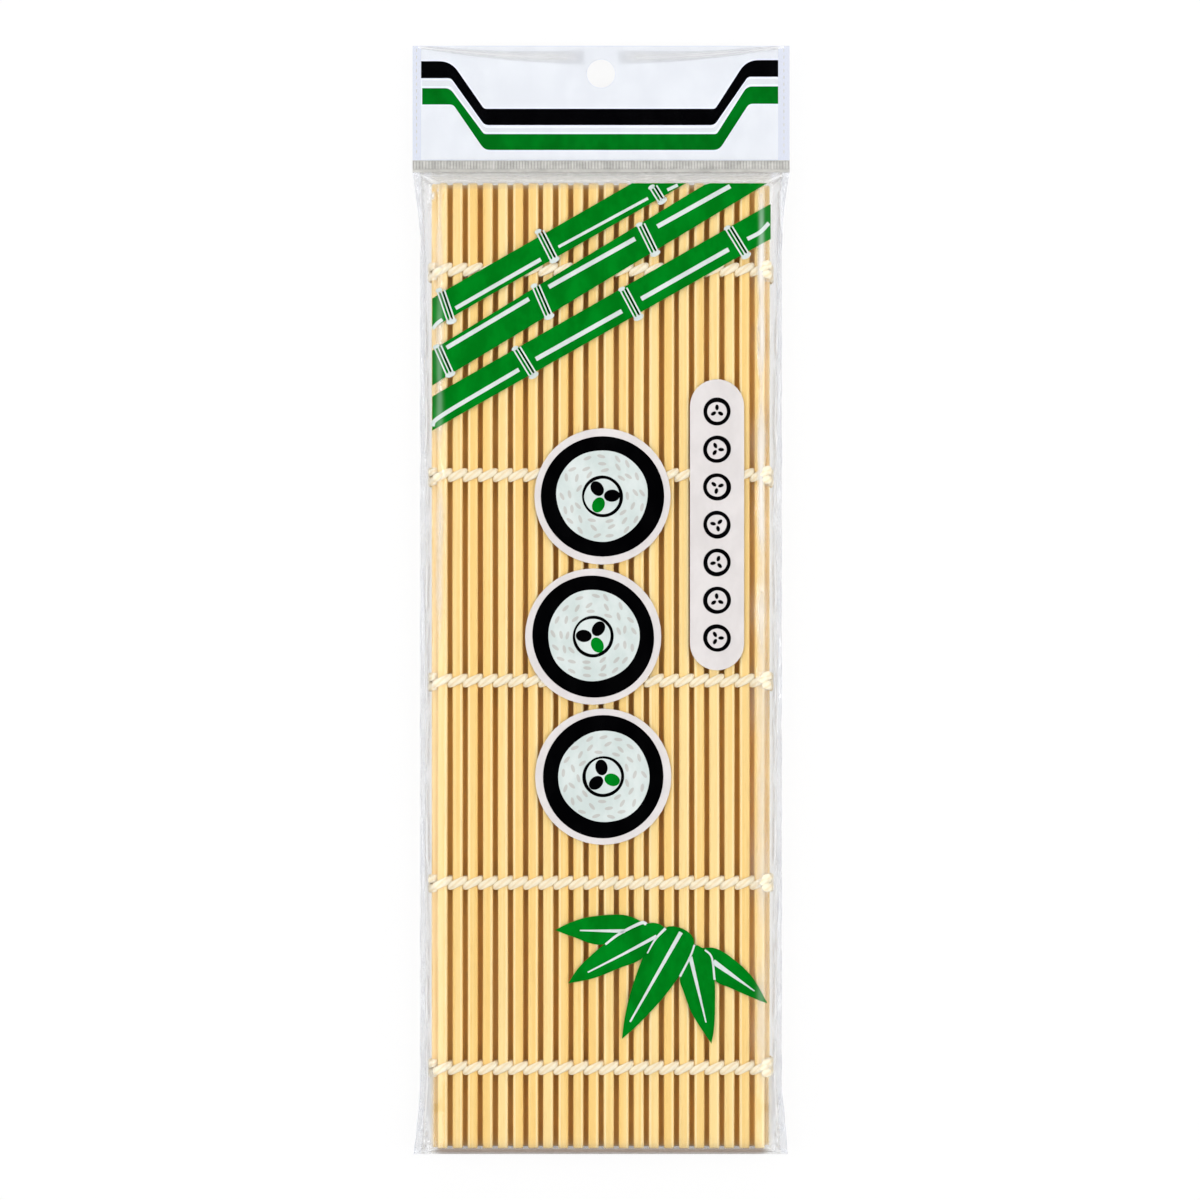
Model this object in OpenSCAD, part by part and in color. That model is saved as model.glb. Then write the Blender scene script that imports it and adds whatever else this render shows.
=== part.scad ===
// Bamboo sushi rolling mat, folded in three in a clear header bag.
// It lies on its back: X runs across the slats, Y along them to the header, Z up.
// The three panels lie in a zigzag: bottom, middle and top, joined at two side folds.

/* [Slats] */
// Length of every slat
slat_len = 270; // [200:1:300]
// Width of a slat's face
slat_w = 2.6; // [2.2:0.1:2.8]
// Thickness of a slat
slat_t = 2.1; // [1.8:0.1:2.6]
// Bevel along a slat's long edges
slat_edge = 0.5; // [0.3:0.05:0.6]
// Bevel round a slat's two ends
slat_end = 0.6; // [0.3:0.1:0.9]
// Spacing of neighbouring slats in a panel
slat_pitch = 4.22; // [4.1:0.02:4.6]

/* [Panels] */
// Slats in the top panel, with one fewer in the middle panel
top_count = 22; // [18:2:22]
// Slats in the bottom panel, which stops short of the left side
bottom_count = 18; // [15:3:18]
// Slats that share a node in the middle and bottom panels
group_size = 3; // [3:1:3]
// Spacing of the three layers
layer_step = 4.2; // [4.2:0.1:5]
// Height from a fold's tight hinge line to the middle of its side slat
fold_rise = 2.6; // [2.5:0.05:2.8]

/* [Cords] */
// Thickness of a cord strand where it presses on a slat
cord_t = 0.9; // [0.6:0.05:0.9]
// Width of a cord strand along the slats
cord_w = 1.6; // [1.2:0.1:1.6]
// Half of the distance that a strand swings to each side of its row
cord_swing = 0.95; // [0.9:0.05:1.2]
// Room between a strand and a slat
cord_gap = 0.1; // [0.05:0.05:0.2]
// How far past a slat's edge a strand starts to dive
cord_bow = 0.25; // [0.25:0.05:0.35]
// Distance of the first cord row from the slat ends at the header
row_inset = 24.3; // [15:0.1:40]
// Spacing of the first three cord rows
row_step_upper = 57.4; // [40:0.1:58]
// Spacing of the third and fourth cord rows
row_step_lower = 56.5; // [40:0.1:58]
// Spacing of the fourth and fifth cord rows
row_step_last = 51.7; // [40:0.1:58]

/* [Bag] */
// Thickness of the clear film, drawn thicker than the real one
film_t = 0.2; // [0.15:0.05:0.25]
// Room between the film and the mat
film_gap = 0.15; // [0.1:0.05:0.3]
// How much wider than the folded mat the bag and its header are when laid flat
bag_room = 9.06; // [8.06:0.2:12.06]
// How much narrower the filled bag is over its middle than laid flat
waist_draw = 4.4; // [2.4:0.2:5]
// How much narrower the filled bag is at its flared foot than laid flat
foot_draw = 0.8; // [0:0.1:2]
// Length of the flare at the foot
flare_len = 20; // [10:1:30]
// Length of the bag below the slat ends
foot_len = 2.4; // [2.2:0.1:5]
// Length of the film's slope from the slats up to the seal band
slope_len = 3.6; // [2.5:0.1:8]
// Width of the flat lip where front and back film are welded
lip_w = 1.0; // [0.6:0.1:1.4]

/* [Header] */
// Length of the header sheet above the seal band
header_len = 32.2; // [28:0.2:40]
// Thickness of the header sheet
header_t = 0.4; // [0.3:0.1:0.8]
// Length of the ribbed seal band
seal_len = 3.4; // [2:0.2:6]
// Thickness of the seal band over its ribs
seal_t = 0.8; // [0.6:0.1:1.2]
// Height of a rib on the seal band
seal_rib_h = 0.15; // [0.1:0.05:0.2]
// Spacing of the ribs on the seal band
seal_rib_step = 1.5; // [1:0.1:3]
// Radius of the hang hole
hang_r = 4; // [2.5:0.25:5]
// Distance of the hang hole's middle from the header's top edge
hang_inset = 7.8; // [6:0.2:12]

/* [Hidden] */
middle_count = top_count - 1;
bottom_groups = bottom_count / group_size;
middle_groups = floor(middle_count / group_size);

// Heights of the three layers, the film and the weld line
cord_reach = slat_t / 2 + cord_gap + cord_t;
z_bottom = film_t + film_gap + cord_reach;
z_middle = z_bottom + layer_step;
z_top = z_middle + layer_step;
z_film = z_top + cord_reach + film_gap + film_t;

// Distance of a strand's centre line from a slat's middle, across and along the mat
cord_h = slat_t / 2 + cord_gap + cord_t / 2;
cord_e = slat_w / 2 + cord_bow;

// Distance of both fold lines from the middle
fold_x = top_count * slat_pitch / 2;

// Widths of the bag: laid flat as at the header, over its filled middle, and at its foot
flat_w = 2 * (fold_x + cord_reach) + bag_room;
waist_w = flat_w - waist_draw;
foot_w = flat_w - foot_draw;

// Stations along the bag, with the origin in the middle of its length
bag_len = foot_len + slat_len + slope_len + seal_len + header_len;
y_foot = -bag_len / 2;
y_slat_low = y_foot + foot_len;
y_slat_high = y_slat_low + slat_len;
y_seal = y_slat_high + slope_len;
y_header = y_seal + seal_len;
y_crown = y_header + header_len;
y_middle = (y_slat_low + y_slat_high) / 2;

// Places of the five cord rows
row_1 = y_slat_high - row_inset;
row_2 = row_1 - row_step_upper;
row_3 = row_2 - row_step_upper;
row_4 = row_3 - row_step_lower;
row_5 = row_4 - row_step_last;
rows = [row_1, row_2, row_3, row_4, row_5];

// Centre lines of the slats in the order in which the cord meets them,
// each as its X, its Z and the direction of the mat there
bottom_line = [for (i = [0:bottom_count - 1])
    [fold_x - slat_pitch / 2 - (bottom_count - 1 - i) * slat_pitch, z_bottom, 0]];
right_line = [[fold_x, z_bottom + fold_rise, 90]];
middle_line = [for (i = [0:middle_count - 1])
    [(middle_count - 1) / 2 * slat_pitch - i * slat_pitch, z_middle, 180]];
left_line = [[-fold_x, z_top - fold_rise, 90]];
top_line = [for (i = [0:top_count - 1])
    [-fold_x + slat_pitch / 2 + i * slat_pitch, z_top, 0]];
mat_line = concat(bottom_line, right_line, middle_line, left_line, top_line);

// Places in mat_line of the slats just before each fold
right_turn = bottom_count - 1;
left_turn = bottom_count + middle_count;

bamboo_color = "#f3d592";
cord_color = "#f4ecd8";
film_color = [0.86, 0.9, 0.92, 0.35];
header_color = "#eef1f6";
seal_color = "#c9ced3";

function top_name(k) = str("top_slat_", k < 10 ? "0" : "", k);
function middle_name(k) = str("middle_slats_", k);
function bottom_name(k) = str("bottom_slats_", k);
function cord_name(k) = str("cord_row_", k);

// Outline of a bar of the given sides with its four corners cut
module bevelled(a, b, cut) {
    polygon([
        [-a / 2 + cut, -b / 2], [a / 2 - cut, -b / 2],
        [a / 2, -b / 2 + cut], [a / 2, b / 2 - cut],
        [a / 2 - cut, b / 2], [-a / 2 + cut, b / 2],
        [-a / 2, b / 2 - cut], [-a / 2, -b / 2 + cut]]);
}

// One bamboo slat along Y, bevelled on its edges and round its ends
module slat(place) {
    color(bamboo_color)
    translate([place[0], y_middle, place[1]])
    rotate([0, -place[2], 0])
    intersection() {
        rotate([90, 0, 0])
        linear_extrude(height = slat_len, center = true)
        bevelled(slat_w, slat_t, slat_edge);

        linear_extrude(height = 2 * slat_t, center = true)
        bevelled(slat_w, slat_len, slat_end);
    }
}

// A run of neighbouring slats of one panel
module slat_group(line, k) {
    for (i = [0:group_size - 1]) slat(line[(k - 1) * group_size + i]);
}

function clamp(v, low, high) = min(high, max(low, v));
function unit(v) = v / norm(v);
function left_of(a, b) = let (d = unit([b[0] - a[0], b[2] - a[2]])) [-d[1], d[0]];
function turned(u, angle) = [
    u[0] * cos(angle) - u[1] * sin(angle),
    u[0] * sin(angle) + u[1] * cos(angle)];

// Which face of slat k a strand lies on: it changes at each gap, but not in the folds
function face_of(k, strand) =
    let (swaps = k - clamp(k - right_turn, 0, 2) - clamp(k - left_turn, 0, 2))
    (swaps + strand) % 2 == 0 ? 1 : -1;

// A strand's point by slat k: along is -1 at the slat's first edge and 1 at its last
function edge_point(k, strand, along, y) =
    let (
        face = face_of(k, strand),
        at = mat_line[k],
        off = turned([along * cord_e, face * cord_h], at[2]))
    [at[0] + off[0], y + along * face * cord_swing, at[1] + off[1]];

// A strand's way round the right fold, from the fold line at the lower layer
inner_turn = [[-cord_h, cord_h], [-cord_h, layer_step - cord_h]];
outer_turn = [
    [cord_e - slat_pitch / 2, -cord_h],
    [cord_h, fold_rise - slat_w / 2],
    [cord_h, fold_rise + slat_w / 2 - slat_edge],
    [cord_bow, layer_step + cord_h]];

function right_fold(strand, y) =
    let (face = face_of(right_turn, strand))
    [for (p = face > 0 ? inner_turn : outer_turn)
        [fold_x + p[0], y + face * cord_swing, z_bottom + p[1]]];

// The left fold is the right fold turned about, and the strand meets it backwards
function left_fold(strand, y) =
    let (
        face = face_of(left_turn, strand),
        turn = face < 0 ? inner_turn : outer_turn,
        last = len(turn) - 1)
    [for (i = [0:last])
        [-fold_x - turn[last - i][0], y + face * cord_swing, z_top - turn[last - i][1]]];

// All points of a strand, from the free end of the bottom panel to that of the top one
function strand_path(strand, y) = concat(
    [for (k = [0:right_turn - 1]) each [
        edge_point(k, strand, -1, y), edge_point(k, strand, 1, y)]],
    [edge_point(right_turn, strand, -1, y)],
    right_fold(strand, y),
    [edge_point(right_turn + 2, strand, 1, y)],
    [for (k = [right_turn + 3:left_turn - 1]) each [
        edge_point(k, strand, -1, y), edge_point(k, strand, 1, y)]],
    [edge_point(left_turn, strand, -1, y)],
    left_fold(strand, y),
    [edge_point(left_turn + 2, strand, 1, y)],
    [for (k = [left_turn + 3:len(mat_line) - 1]) each [
        edge_point(k, strand, -1, y), edge_point(k, strand, 1, y)]]);

strand_sides = 6;

// Ring of points round point i of a path, mitred between its two stretches
function ring(path, i) =
    let (
        last = len(path) - 1,
        before = left_of(path[max(i - 1, 0)], path[max(i, 1)]),
        after = left_of(path[min(i, last - 1)], path[min(i + 1, last)]),
        across = unit(before + after),
        reach = cord_t / 2 / (across * before))
    [for (j = [0:strand_sides - 1])
        let (a = 360 * j / strand_sides)
        path[i] + [
            across[0] * reach * cos(a),
            cord_w / 2 * sin(a),
            across[1] * reach * cos(a)]];

// Flat tube along a path
module strand_tube(path) {
    n = strand_sides;
    last = len(path) - 1;
    points = [for (i = [0:last]) each ring(path, i)];
    walls = [for (i = [0:last - 1]) for (j = [0:n - 1])
        let (
            a = i * n + j,
            b = i * n + (j + 1) % n,
            c = b + n,
            d = a + n)
        each [[a, b, c], [a, c, d]]];
    caps = [
        [for (j = [0:n - 1]) n - 1 - j],
        [for (j = [0:n - 1]) last * n + j]];
    polyhedron(points, concat(walls, caps), convexity = 10);
}

// One row of cord: two strands that twine round every slat
module cord_row(y) {
    color(cord_color)
    for (strand = [0, 1]) strand_tube(strand_path(strand, y));
}

// Height of the weld between front and back film
z_weld = z_middle;

// Where the film leaves the lip, turns over the folds and lies on the mat
shoulder_x = fold_x + cord_reach + 2 * film_gap + film_t;
crown_x = fold_x + film_gap;
shoulder_drop = slat_t / 2 + film_t;

// Stations along the film: Y, half width, share of full height, and the way to its inside
film_stations = [
    [y_foot, foot_w / 2, 0, 0],
    [y_foot + lip_w - film_t, foot_w / 2, 0, 1],
    [y_slat_low - film_gap - film_t, foot_w / 2, 1, 1],
    [y_foot + flare_len, waist_w / 2, 1, 0],
    [y_middle, waist_w / 2, 1, 0],
    [y_seal - flare_len, waist_w / 2, 1, 0],
    [y_slat_high + film_gap + film_t, (waist_w + flat_w) / 4, 1, -1],
    [y_seal, flat_w / 2, 0, 0]];

// Half section of the film at a station, as X, share of height and drop below the crown
function film_half(half_w, rise) = [
    [half_w, 0, 0],
    [max(half_w - lip_w, shoulder_x + film_t), 0, 0],
    [shoulder_x, rise, shoulder_drop],
    [crown_x, rise, 0]];

// Points across the film at a station; inset is 0 outside and film_t inside
function film_row(s, height, inset) =
    let (
        half = film_half(s[1], s[2]),
        way = sign(height),
        y = s[0] + s[3] * inset,
        right = [for (p = half)
            let (lift = p[1] * (abs(height) - p[2]))
            [
                p[0] - (p[2] > 0 ? inset : 0),
                y,
                z_weld + way * (p[1] > 0 ? lift - inset : film_t - inset)
            ]])
    concat(
        right,
        [for (i = [len(right) - 1:-1:0]) [-right[i][0], right[i][1], right[i][2]]]);

// Closed sheet between an outer and an inner net of points
module sheet(outer, inner, flip) {
    rows_n = len(outer);
    cols_n = len(outer[0]);
    half = rows_n * cols_n;
    points = concat([for (r = outer) each r], [for (r = inner) each r]);
    net = [for (i = [0:rows_n - 2]) for (j = [0:cols_n - 2])
        let (
            a = i * cols_n + j,
            b = a + 1,
            c = b + cols_n,
            d = a + cols_n)
        each [[a, b, c], [a, c, d]]];
    back = [for (f = net) [f[2] + half, f[1] + half, f[0] + half]];
    rim = concat(
        [for (j = [0:cols_n - 2]) j],
        [for (i = [0:rows_n - 2]) i * cols_n + cols_n - 1],
        [for (j = [cols_n - 1:-1:1]) (rows_n - 1) * cols_n + j],
        [for (i = [rows_n - 1:-1:1]) i * cols_n]);
    edge = [for (k = [0:len(rim) - 1])
        let (
            a = rim[k],
            b = rim[(k + 1) % len(rim)])
        each [[b, a, a + half], [b, a + half, b + half]]];
    all_faces = concat(net, back, edge);
    polyhedron(points, flip ? [for (f = all_faces) [f[2], f[1], f[0]]] : all_faces, convexity = 6);
}

// The film over or under the mat; height is signed from the weld line
module film(height) {
    color(film_color)
    sheet(
        [for (s = film_stations) film_row(s, height, 0)],
        [for (s = film_stations) film_row(s, height, film_t)],
        height < 0);
}

module front_film() {
    film(z_film - z_weld);
}

module back_film() {
    film(-z_weld);
}

// Ribbed band that seals the bag below the header
module seal_band() {
    ribs = floor(flat_w / seal_rib_step) - 1;
    first = -(ribs - 1) / 2 * seal_rib_step;
    web = seal_t / 2 - seal_rib_h;
    face = [for (k = [0:ribs - 1])
        let (x = first + k * seal_rib_step)
        each [
            [x - seal_rib_step / 4, web], [x - seal_rib_step / 8, seal_t / 2],
            [x + seal_rib_step / 8, seal_t / 2], [x + seal_rib_step / 4, web]]];
    other = [for (k = [len(face) - 1:-1:0]) [face[k][0], -face[k][1]]];
    outline = concat(
        [[-flat_w / 2, -web], [-flat_w / 2, web]], face,
        [[flat_w / 2, web], [flat_w / 2, -web]], other);
    color(seal_color)
    translate([0, y_header, z_weld])
    rotate([90, 0, 0])
    linear_extrude(height = seal_len)
    polygon(outline);
}

// Printed header sheet with its round hang hole
module header_sheet() {
    color(header_color)
    translate([0, y_header, z_weld - header_t / 2])
    difference() {
        translate([-flat_w / 2, 0, 0])
        cube([flat_w, header_len, header_t]);

        translate([0, header_len - hang_inset, -header_t])
        cylinder(r = hang_r, h = 3 * header_t, $fn = 64);
    }
}

for (k = [1:top_count])
    slat(top_line[k - 1]);
slat(left_line[0]);  // left_side_slat
slat(right_line[0]);  // right_side_slat
for (k = [1:middle_groups])
    slat_group(middle_line, k);
for (k = [1:bottom_groups])
    slat_group(bottom_line, k);
for (k = [1:len(rows)])
    cord_row(rows[k - 1]);
front_film();
back_film();
seal_band();
header_sheet();
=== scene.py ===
"""Looks of a bamboo sushi rolling mat, folded in three in its clear header bag.

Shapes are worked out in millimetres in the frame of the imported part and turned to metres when
a mesh is written. X runs across the slats, Y along them to the header, Z up.
"""

import logging
import math
from collections import defaultdict
from dataclasses import dataclass, field
from enum import Enum

import bmesh
import bpy
import numpy as np
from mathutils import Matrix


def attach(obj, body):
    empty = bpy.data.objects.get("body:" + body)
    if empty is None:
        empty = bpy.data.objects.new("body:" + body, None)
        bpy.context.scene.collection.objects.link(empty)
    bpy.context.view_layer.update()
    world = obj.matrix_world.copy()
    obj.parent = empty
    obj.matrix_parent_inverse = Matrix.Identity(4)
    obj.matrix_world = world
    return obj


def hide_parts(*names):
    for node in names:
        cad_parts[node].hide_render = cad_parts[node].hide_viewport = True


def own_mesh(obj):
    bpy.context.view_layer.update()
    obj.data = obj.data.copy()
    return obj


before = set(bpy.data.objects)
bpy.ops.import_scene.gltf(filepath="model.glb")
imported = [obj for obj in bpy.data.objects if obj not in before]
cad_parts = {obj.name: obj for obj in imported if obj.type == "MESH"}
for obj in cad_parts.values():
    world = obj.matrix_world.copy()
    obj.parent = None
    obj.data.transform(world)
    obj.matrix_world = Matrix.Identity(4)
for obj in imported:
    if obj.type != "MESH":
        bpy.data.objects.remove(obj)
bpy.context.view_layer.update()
log = logging.getLogger("rolling_mat")

MM = 0.001
FULL_TURN = 2 * math.pi
Colour = tuple[float, float, float]
Point = tuple[float, float]
Place = tuple[float, float, float]
Grid = np.ndarray
Groups = dict[str, list[Grid]]


def linear(red: int, green: int, blue: int) -> Colour:
    """Turn a colour as it looks on a screen, 0 to 255, into scene light by the sRGB curve.

    Args:
        red: Red, 0 to 255.
        green: Green, 0 to 255.
        blue: Blue, 0 to 255.

    Returns:
        Red, green and blue, 0 to 1.
    """
    shares = [v / 255 for v in (red, green, blue)]
    curve = [v / 12.92 if v <= 0.04045 else ((v + 0.055) / 1.055) ** 2.4 for v in shares]
    return curve[0], curve[1], curve[2]


def show(name: str, data: bpy.types.ID) -> bpy.types.Object:
    """Put a mesh, lamp or camera into the scene.

    Args:
        name: The object's name.
        data: What it shows.

    Returns:
        The object.
    """
    thing = bpy.data.objects.new(name, data)
    bpy.context.scene.collection.objects.link(thing)
    return thing


@dataclass(frozen=True)
class MatSizes:
    """Sizes of the folded mat and its bag in millimetres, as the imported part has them."""

    slat_len: float = 270.0
    slat_t: float = 2.1
    pitch: float = 4.22
    top_count: int = 22
    bottom_count: int = 18
    layer_step: float = 4.2
    fold_rise: float = 2.6
    fold_x: float = 46.42
    z_bottom: float = 2.4
    z_middle: float = 6.6
    z_top: float = 10.8
    y_foot: float = -155.8
    y_middle: float = -18.4
    y_seal: float = 120.2
    y_header: float = 123.6
    y_crown: float = 155.8
    rows: tuple[float, ...] = (92.3, 34.9, -22.5, -79.0, -130.7)
    hole_y: float = 148.0
    hole_r: float = 4.0
    flat_half: float = 53.0
    waist_half: float = 50.8
    foot_half: float = 52.6

    def top_places(self) -> Grid:
        """Places of the top slats as rows of X, Z and the mat's direction in degrees."""
        x = -self.fold_x + self.pitch * (np.arange(self.top_count) + 0.5)
        return np.stack([x, np.full_like(x, self.z_top), np.zeros_like(x)], axis=1)

    def middle_places(self) -> Grid:
        """Places of the middle slats, counted from the right fold."""
        x = self.pitch * ((self.top_count - 2) / 2 - np.arange(self.top_count - 1))
        return np.stack([x, np.full_like(x, self.z_middle), np.full_like(x, 180.0)], axis=1)

    def bottom_places(self) -> Grid:
        """Places of the bottom slats, counted toward the right fold."""
        x = self.fold_x - self.pitch * (np.arange(self.bottom_count)[::-1] + 0.5)
        return np.stack([x, np.full_like(x, self.z_bottom), np.zeros_like(x)], axis=1)

    def side_place(self, side: int) -> Grid:
        """Place of the slat that stands in a fold; side is 1 at the right and -1 at the left."""
        z = self.z_bottom + self.fold_rise if side > 0 else self.z_top - self.fold_rise
        return np.array([[side * self.fold_x, z, 90.0]])


SIZES = MatSizes()


@dataclass
class Skin:
    """Quads gathered from numpy grids of rings, with a UV map and point attributes."""

    points: list[Grid] = field(default_factory=list)
    quads: list[Grid] = field(default_factory=list)
    corners: list[Grid] = field(default_factory=list)
    values: Groups = field(default_factory=lambda: defaultdict(list))
    count: int = 0

    def add(self, rings: Grid, loop: bool = False, **values: Grid) -> "Skin":
        """Add closed shells whose cross-sections are rings of points.

        Point j of ring i is joined to its neighbours j+1 and i+1. Quads that pair opposite points
        shut the first and last ring, unless the row of rings itself closes into a loop.

        Args:
            rings: Points in millimetres, shaped (rings, points, 3) or (shells, rings, points, 3).
            loop: Whether the last ring joins the first.
            **values: One number for each point, or what broadcasts to that.

        Returns:
            This skin, so that calls can follow each other.
        """
        rings = rings if rings.ndim == 4 else rings[None]
        shells, rows, cols = rings.shape[:3]
        i, j = np.meshgrid(np.arange(rows if loop else rows - 1), np.arange(cols), indexing="ij")
        near, far, after = i * cols, (i + 1) % rows * cols, (j + 1) % cols
        quads = [np.stack([near + j, near + after, far + after, far + j], -1).reshape(-1, 4)]
        u = (i[..., None] + np.array([0, 0, 1, 1])) / max(rows - 1, 1)
        v = (j[..., None] + np.array([0, 1, 1, 0])) / cols
        uvs = [np.stack([u, v], -1).reshape(-1, 4, 2)]
        if not loop:
            k = np.arange(cols // 2 - 1)
            first = np.stack([k, k + 1, cols - 2 - k, cols - 1 - k], -1)
            for cap, end in ((first, 0.0), (first[:, ::-1] + (rows - 1) * cols, 1.0)):
                quads.append(cap)
                uvs.append(np.stack([np.full(cap.shape, end), cap % cols / cols], -1))
        offsets = self.count + np.arange(shells)[:, None, None] * rows * cols
        self.quads.append((np.concatenate(quads)[None] + offsets).reshape(-1, 4))
        self.corners.append(np.tile(np.concatenate(uvs), (shells, 1, 1)))
        self.points.append(rings.reshape(-1, 3))
        for name, value in values.items():
            self.values[name].append(np.broadcast_to(value, (shells, rows, cols)).reshape(-1))
        self.count += shells * rows * cols
        return self

    def build(self, name: str, material: bpy.types.Material, sharp: float = 40.0) -> bpy.types.Object:
        """Write the gathered quads to a mesh object with outward faces, at the origin.

        Args:
            name: The piece's name.
            material: The finish of the whole piece.
            sharp: Angle in degrees past which an edge stays sharp.

        Returns:
            The object.
        """
        mesh = bpy.data.meshes.new(name)
        mesh.from_pydata(np.concatenate(self.points) * MM, [], np.concatenate(self.quads))
        uv = mesh.uv_layers.new(name="UVMap")
        uv.data.foreach_set("uv", np.concatenate(self.corners).astype(np.float32).ravel())
        for key, parts in self.values.items():
            attribute = mesh.attributes.new(key, "FLOAT", "POINT")
            attribute.data.foreach_set("value", np.concatenate(parts).astype(np.float32))
        work = bmesh.new()
        work.from_mesh(mesh)
        bmesh.ops.remove_doubles(work, verts=work.verts, dist=2e-7)
        bmesh.ops.recalc_face_normals(work, faces=work.faces)
        work.to_mesh(mesh)
        work.free()
        mesh.shade_smooth()
        mesh.set_sharp_from_angle(angle=math.radians(sharp))
        mesh.materials.append(material)
        return show(name, mesh)


def settle(piece: bpy.types.Object, body: str, slot: str, *nodes: str, soft: bool = False) -> None:
    """Tell the frame how a piece moves and what it stands for.

    Args:
        piece: The finished piece.
        body: The body that it rides on.
        slot: Its material slot; not used.
        *nodes: The CAD nodes that it replaces, if any.
        soft: Whether the piece gets its own copy of its mesh.
    """
    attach(piece, body)
    if nodes:
        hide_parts(*nodes)
    if soft:
        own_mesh(piece)


def unit(value: Grid) -> Grid:
    """Values cut off below 0 and above 1."""
    return np.clip(value, 0, 1)


def rise(value: Grid, start: float | Grid, over: float) -> Grid:
    """Straight step from 0 at the start to 1 when the value is that much over it."""
    return unit((value - start) / over)


def fall(value: Grid, end: float | Grid, over: float) -> Grid:
    """Straight step from 1 when the value is that much short of the end to 0 at the end."""
    return unit((end - value) / over)


def doubled(top: Grid, under: Grid) -> Grid:
    """Rings of a closed plate: each row of its top, then the same row of its underside, reversed."""
    return np.concatenate([top, under[:, ::-1]], axis=1)


def plate(flat: Grid, height: Grid, thickness: float) -> Grid:
    """Rings of a thin plate: a grid of X and Y at a height, doubled by its thickness below."""
    top = np.concatenate([flat, height[..., None]], axis=-1)
    return doubled(top, top - [0, 0, thickness])


def thick_rings(sheet: Grid, thickness: float) -> Grid:
    """Rings of a closed shell: a sheet and the same moved inwards along its unit normals.

    A normal is the cross product of the sheet's two grid directions.

    Args:
        sheet: Points, shaped (rows, columns, 3).
        thickness: How far inwards the other side lies.

    Returns:
        The rings, shaped (rows, twice the columns, 3).
    """
    normal = np.cross(np.gradient(sheet, axis=1), np.gradient(sheet, axis=0))
    normal /= np.maximum(np.linalg.norm(normal, axis=-1, keepdims=True), 1e-9)
    return doubled(sheet, sheet - normal * thickness)


def turned(place: Grid, across: Grid, normal: Grid) -> tuple[Grid, Grid]:
    """Carry offsets across and normal to the mat to X and Z by turning them by its direction.

    Args:
        place: X, Z and direction in degrees, along the last axis.
        across: Offsets across the mat.
        normal: Offsets normal to it.

    Returns:
        X and Z.
    """
    angle = np.radians(place[..., 2])
    x = place[..., 0] + across * np.cos(angle) - normal * np.sin(angle)
    z = place[..., 1] + across * np.sin(angle) + normal * np.cos(angle)
    return x, z


def waves(at: Grid, seed: int, longest: float, shortest: float, count: int = 5) -> Grid:
    """Smooth unevenness between -1 and 1: a mean of sines of falling wavelength and fixed phase.

    Args:
        at: Places along a line.
        seed: Number that fixes the phases.
        longest: Longest wavelength.
        shortest: Shortest wavelength.
        count: How many sines.

    Returns:
        The unevenness at each place.
    """
    lengths = np.geomspace(longest, shortest, count)
    phases = np.random.default_rng(seed).uniform(0, FULL_TURN, count)
    return np.sin(FULL_TURN * np.asarray(at)[..., None] / lengths + phases).mean(axis=-1)


def bell(distance: Grid, width: float | Grid) -> Grid:
    """Bell curve: e to the power of minus the square of distance over width."""
    return np.exp(-(distance / width) ** 2)


def band(upper: Grid, lower: Grid, count: int = 5) -> Grid:
    """Grid between two curves of as many points: straight lines from one to the other."""
    share = np.linspace(0, 1, count)[None, :, None]
    return upper[:, None, :] * (1 - share) + lower[:, None, :] * share


def evenly(line: Grid, count: int) -> Grid:
    """Points at even distances along a bent line.

    Args:
        line: Points of the line, shaped (points, 2).
        count: How many points to return.

    Returns:
        The points, shaped (count, 2).
    """
    run = np.concatenate([[0], np.cumsum(np.linalg.norm(np.diff(line, axis=0), axis=1))])
    at = np.linspace(0, run[-1], count)
    return np.stack([np.interp(at, run, line[:, k]) for k in (0, 1)], -1)


def resampled(points: list[Point], count: int) -> Grid:
    """Even points along a smooth curve: cubic pieces, sloped at a point as its two chords' mean.

    Args:
        points: Points that the curve passes.
        count: How many points to return.

    Returns:
        The points, shaped (count, 2).
    """
    knots = np.array(points, float)
    if len(knots) > 2:
        slope = np.gradient(knots, axis=0)
        t = np.linspace(0, len(knots) - 1, 40 * len(knots))
        i = np.minimum(t.astype(int), len(knots) - 2)
        s = (t - i)[:, None]
        knots = ((1 + 2 * s) * (1 - s) ** 2 * knots[i] + s * (1 - s) ** 2 * slope[i]
                 + s * s * (3 - 2 * s) * knots[i + 1] + s * s * (s - 1) * slope[i + 1])
    return evenly(knots, count)


def filleted(corners: Grid, reaches: tuple[float, ...], count: int) -> Grid:
    """Even points along a bent line, with a quadratic curve in place of each inner corner.

    Args:
        corners: The line's corners and its two ends.
        reaches: How far before and after each inner corner its curve runs.
        count: How many points to return.

    Returns:
        The points, shaped (count, 2).
    """
    line = [corners[:1]]
    t = np.linspace(0, 1, 9)[:, None]
    for before, corner, after, reach in zip(corners, corners[1:], corners[2:], reaches):
        start, end = (corner + (other - corner) / np.linalg.norm(other - corner) * reach
                      for other in (before, after))
        line.append((1 - t) ** 2 * start + 2 * t * (1 - t) * corner + t * t * end)
    return evenly(np.concatenate([*line, corners[-1:]]), count)


def stroke(points: list[Point], width: float, end_width: float, count: int = 24) -> Grid:
    """Grid of a line of ink: a smooth curve widened to both sides.

    Args:
        points: Points that the line passes.
        width: Its width at the first point.
        end_width: Its width at the last point.
        count: How many places along it the grid has.

    Returns:
        The grid, shaped (count, 3, 2).
    """
    line = resampled(points, count)
    along = np.gradient(line, axis=0)
    along /= np.linalg.norm(along, axis=1, keepdims=True)
    reach = np.stack([-along[:, 1], along[:, 0]], -1) * np.linspace(width, end_width, count)[:, None] / 2
    return band(line + reach, line - reach, 3)


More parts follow.
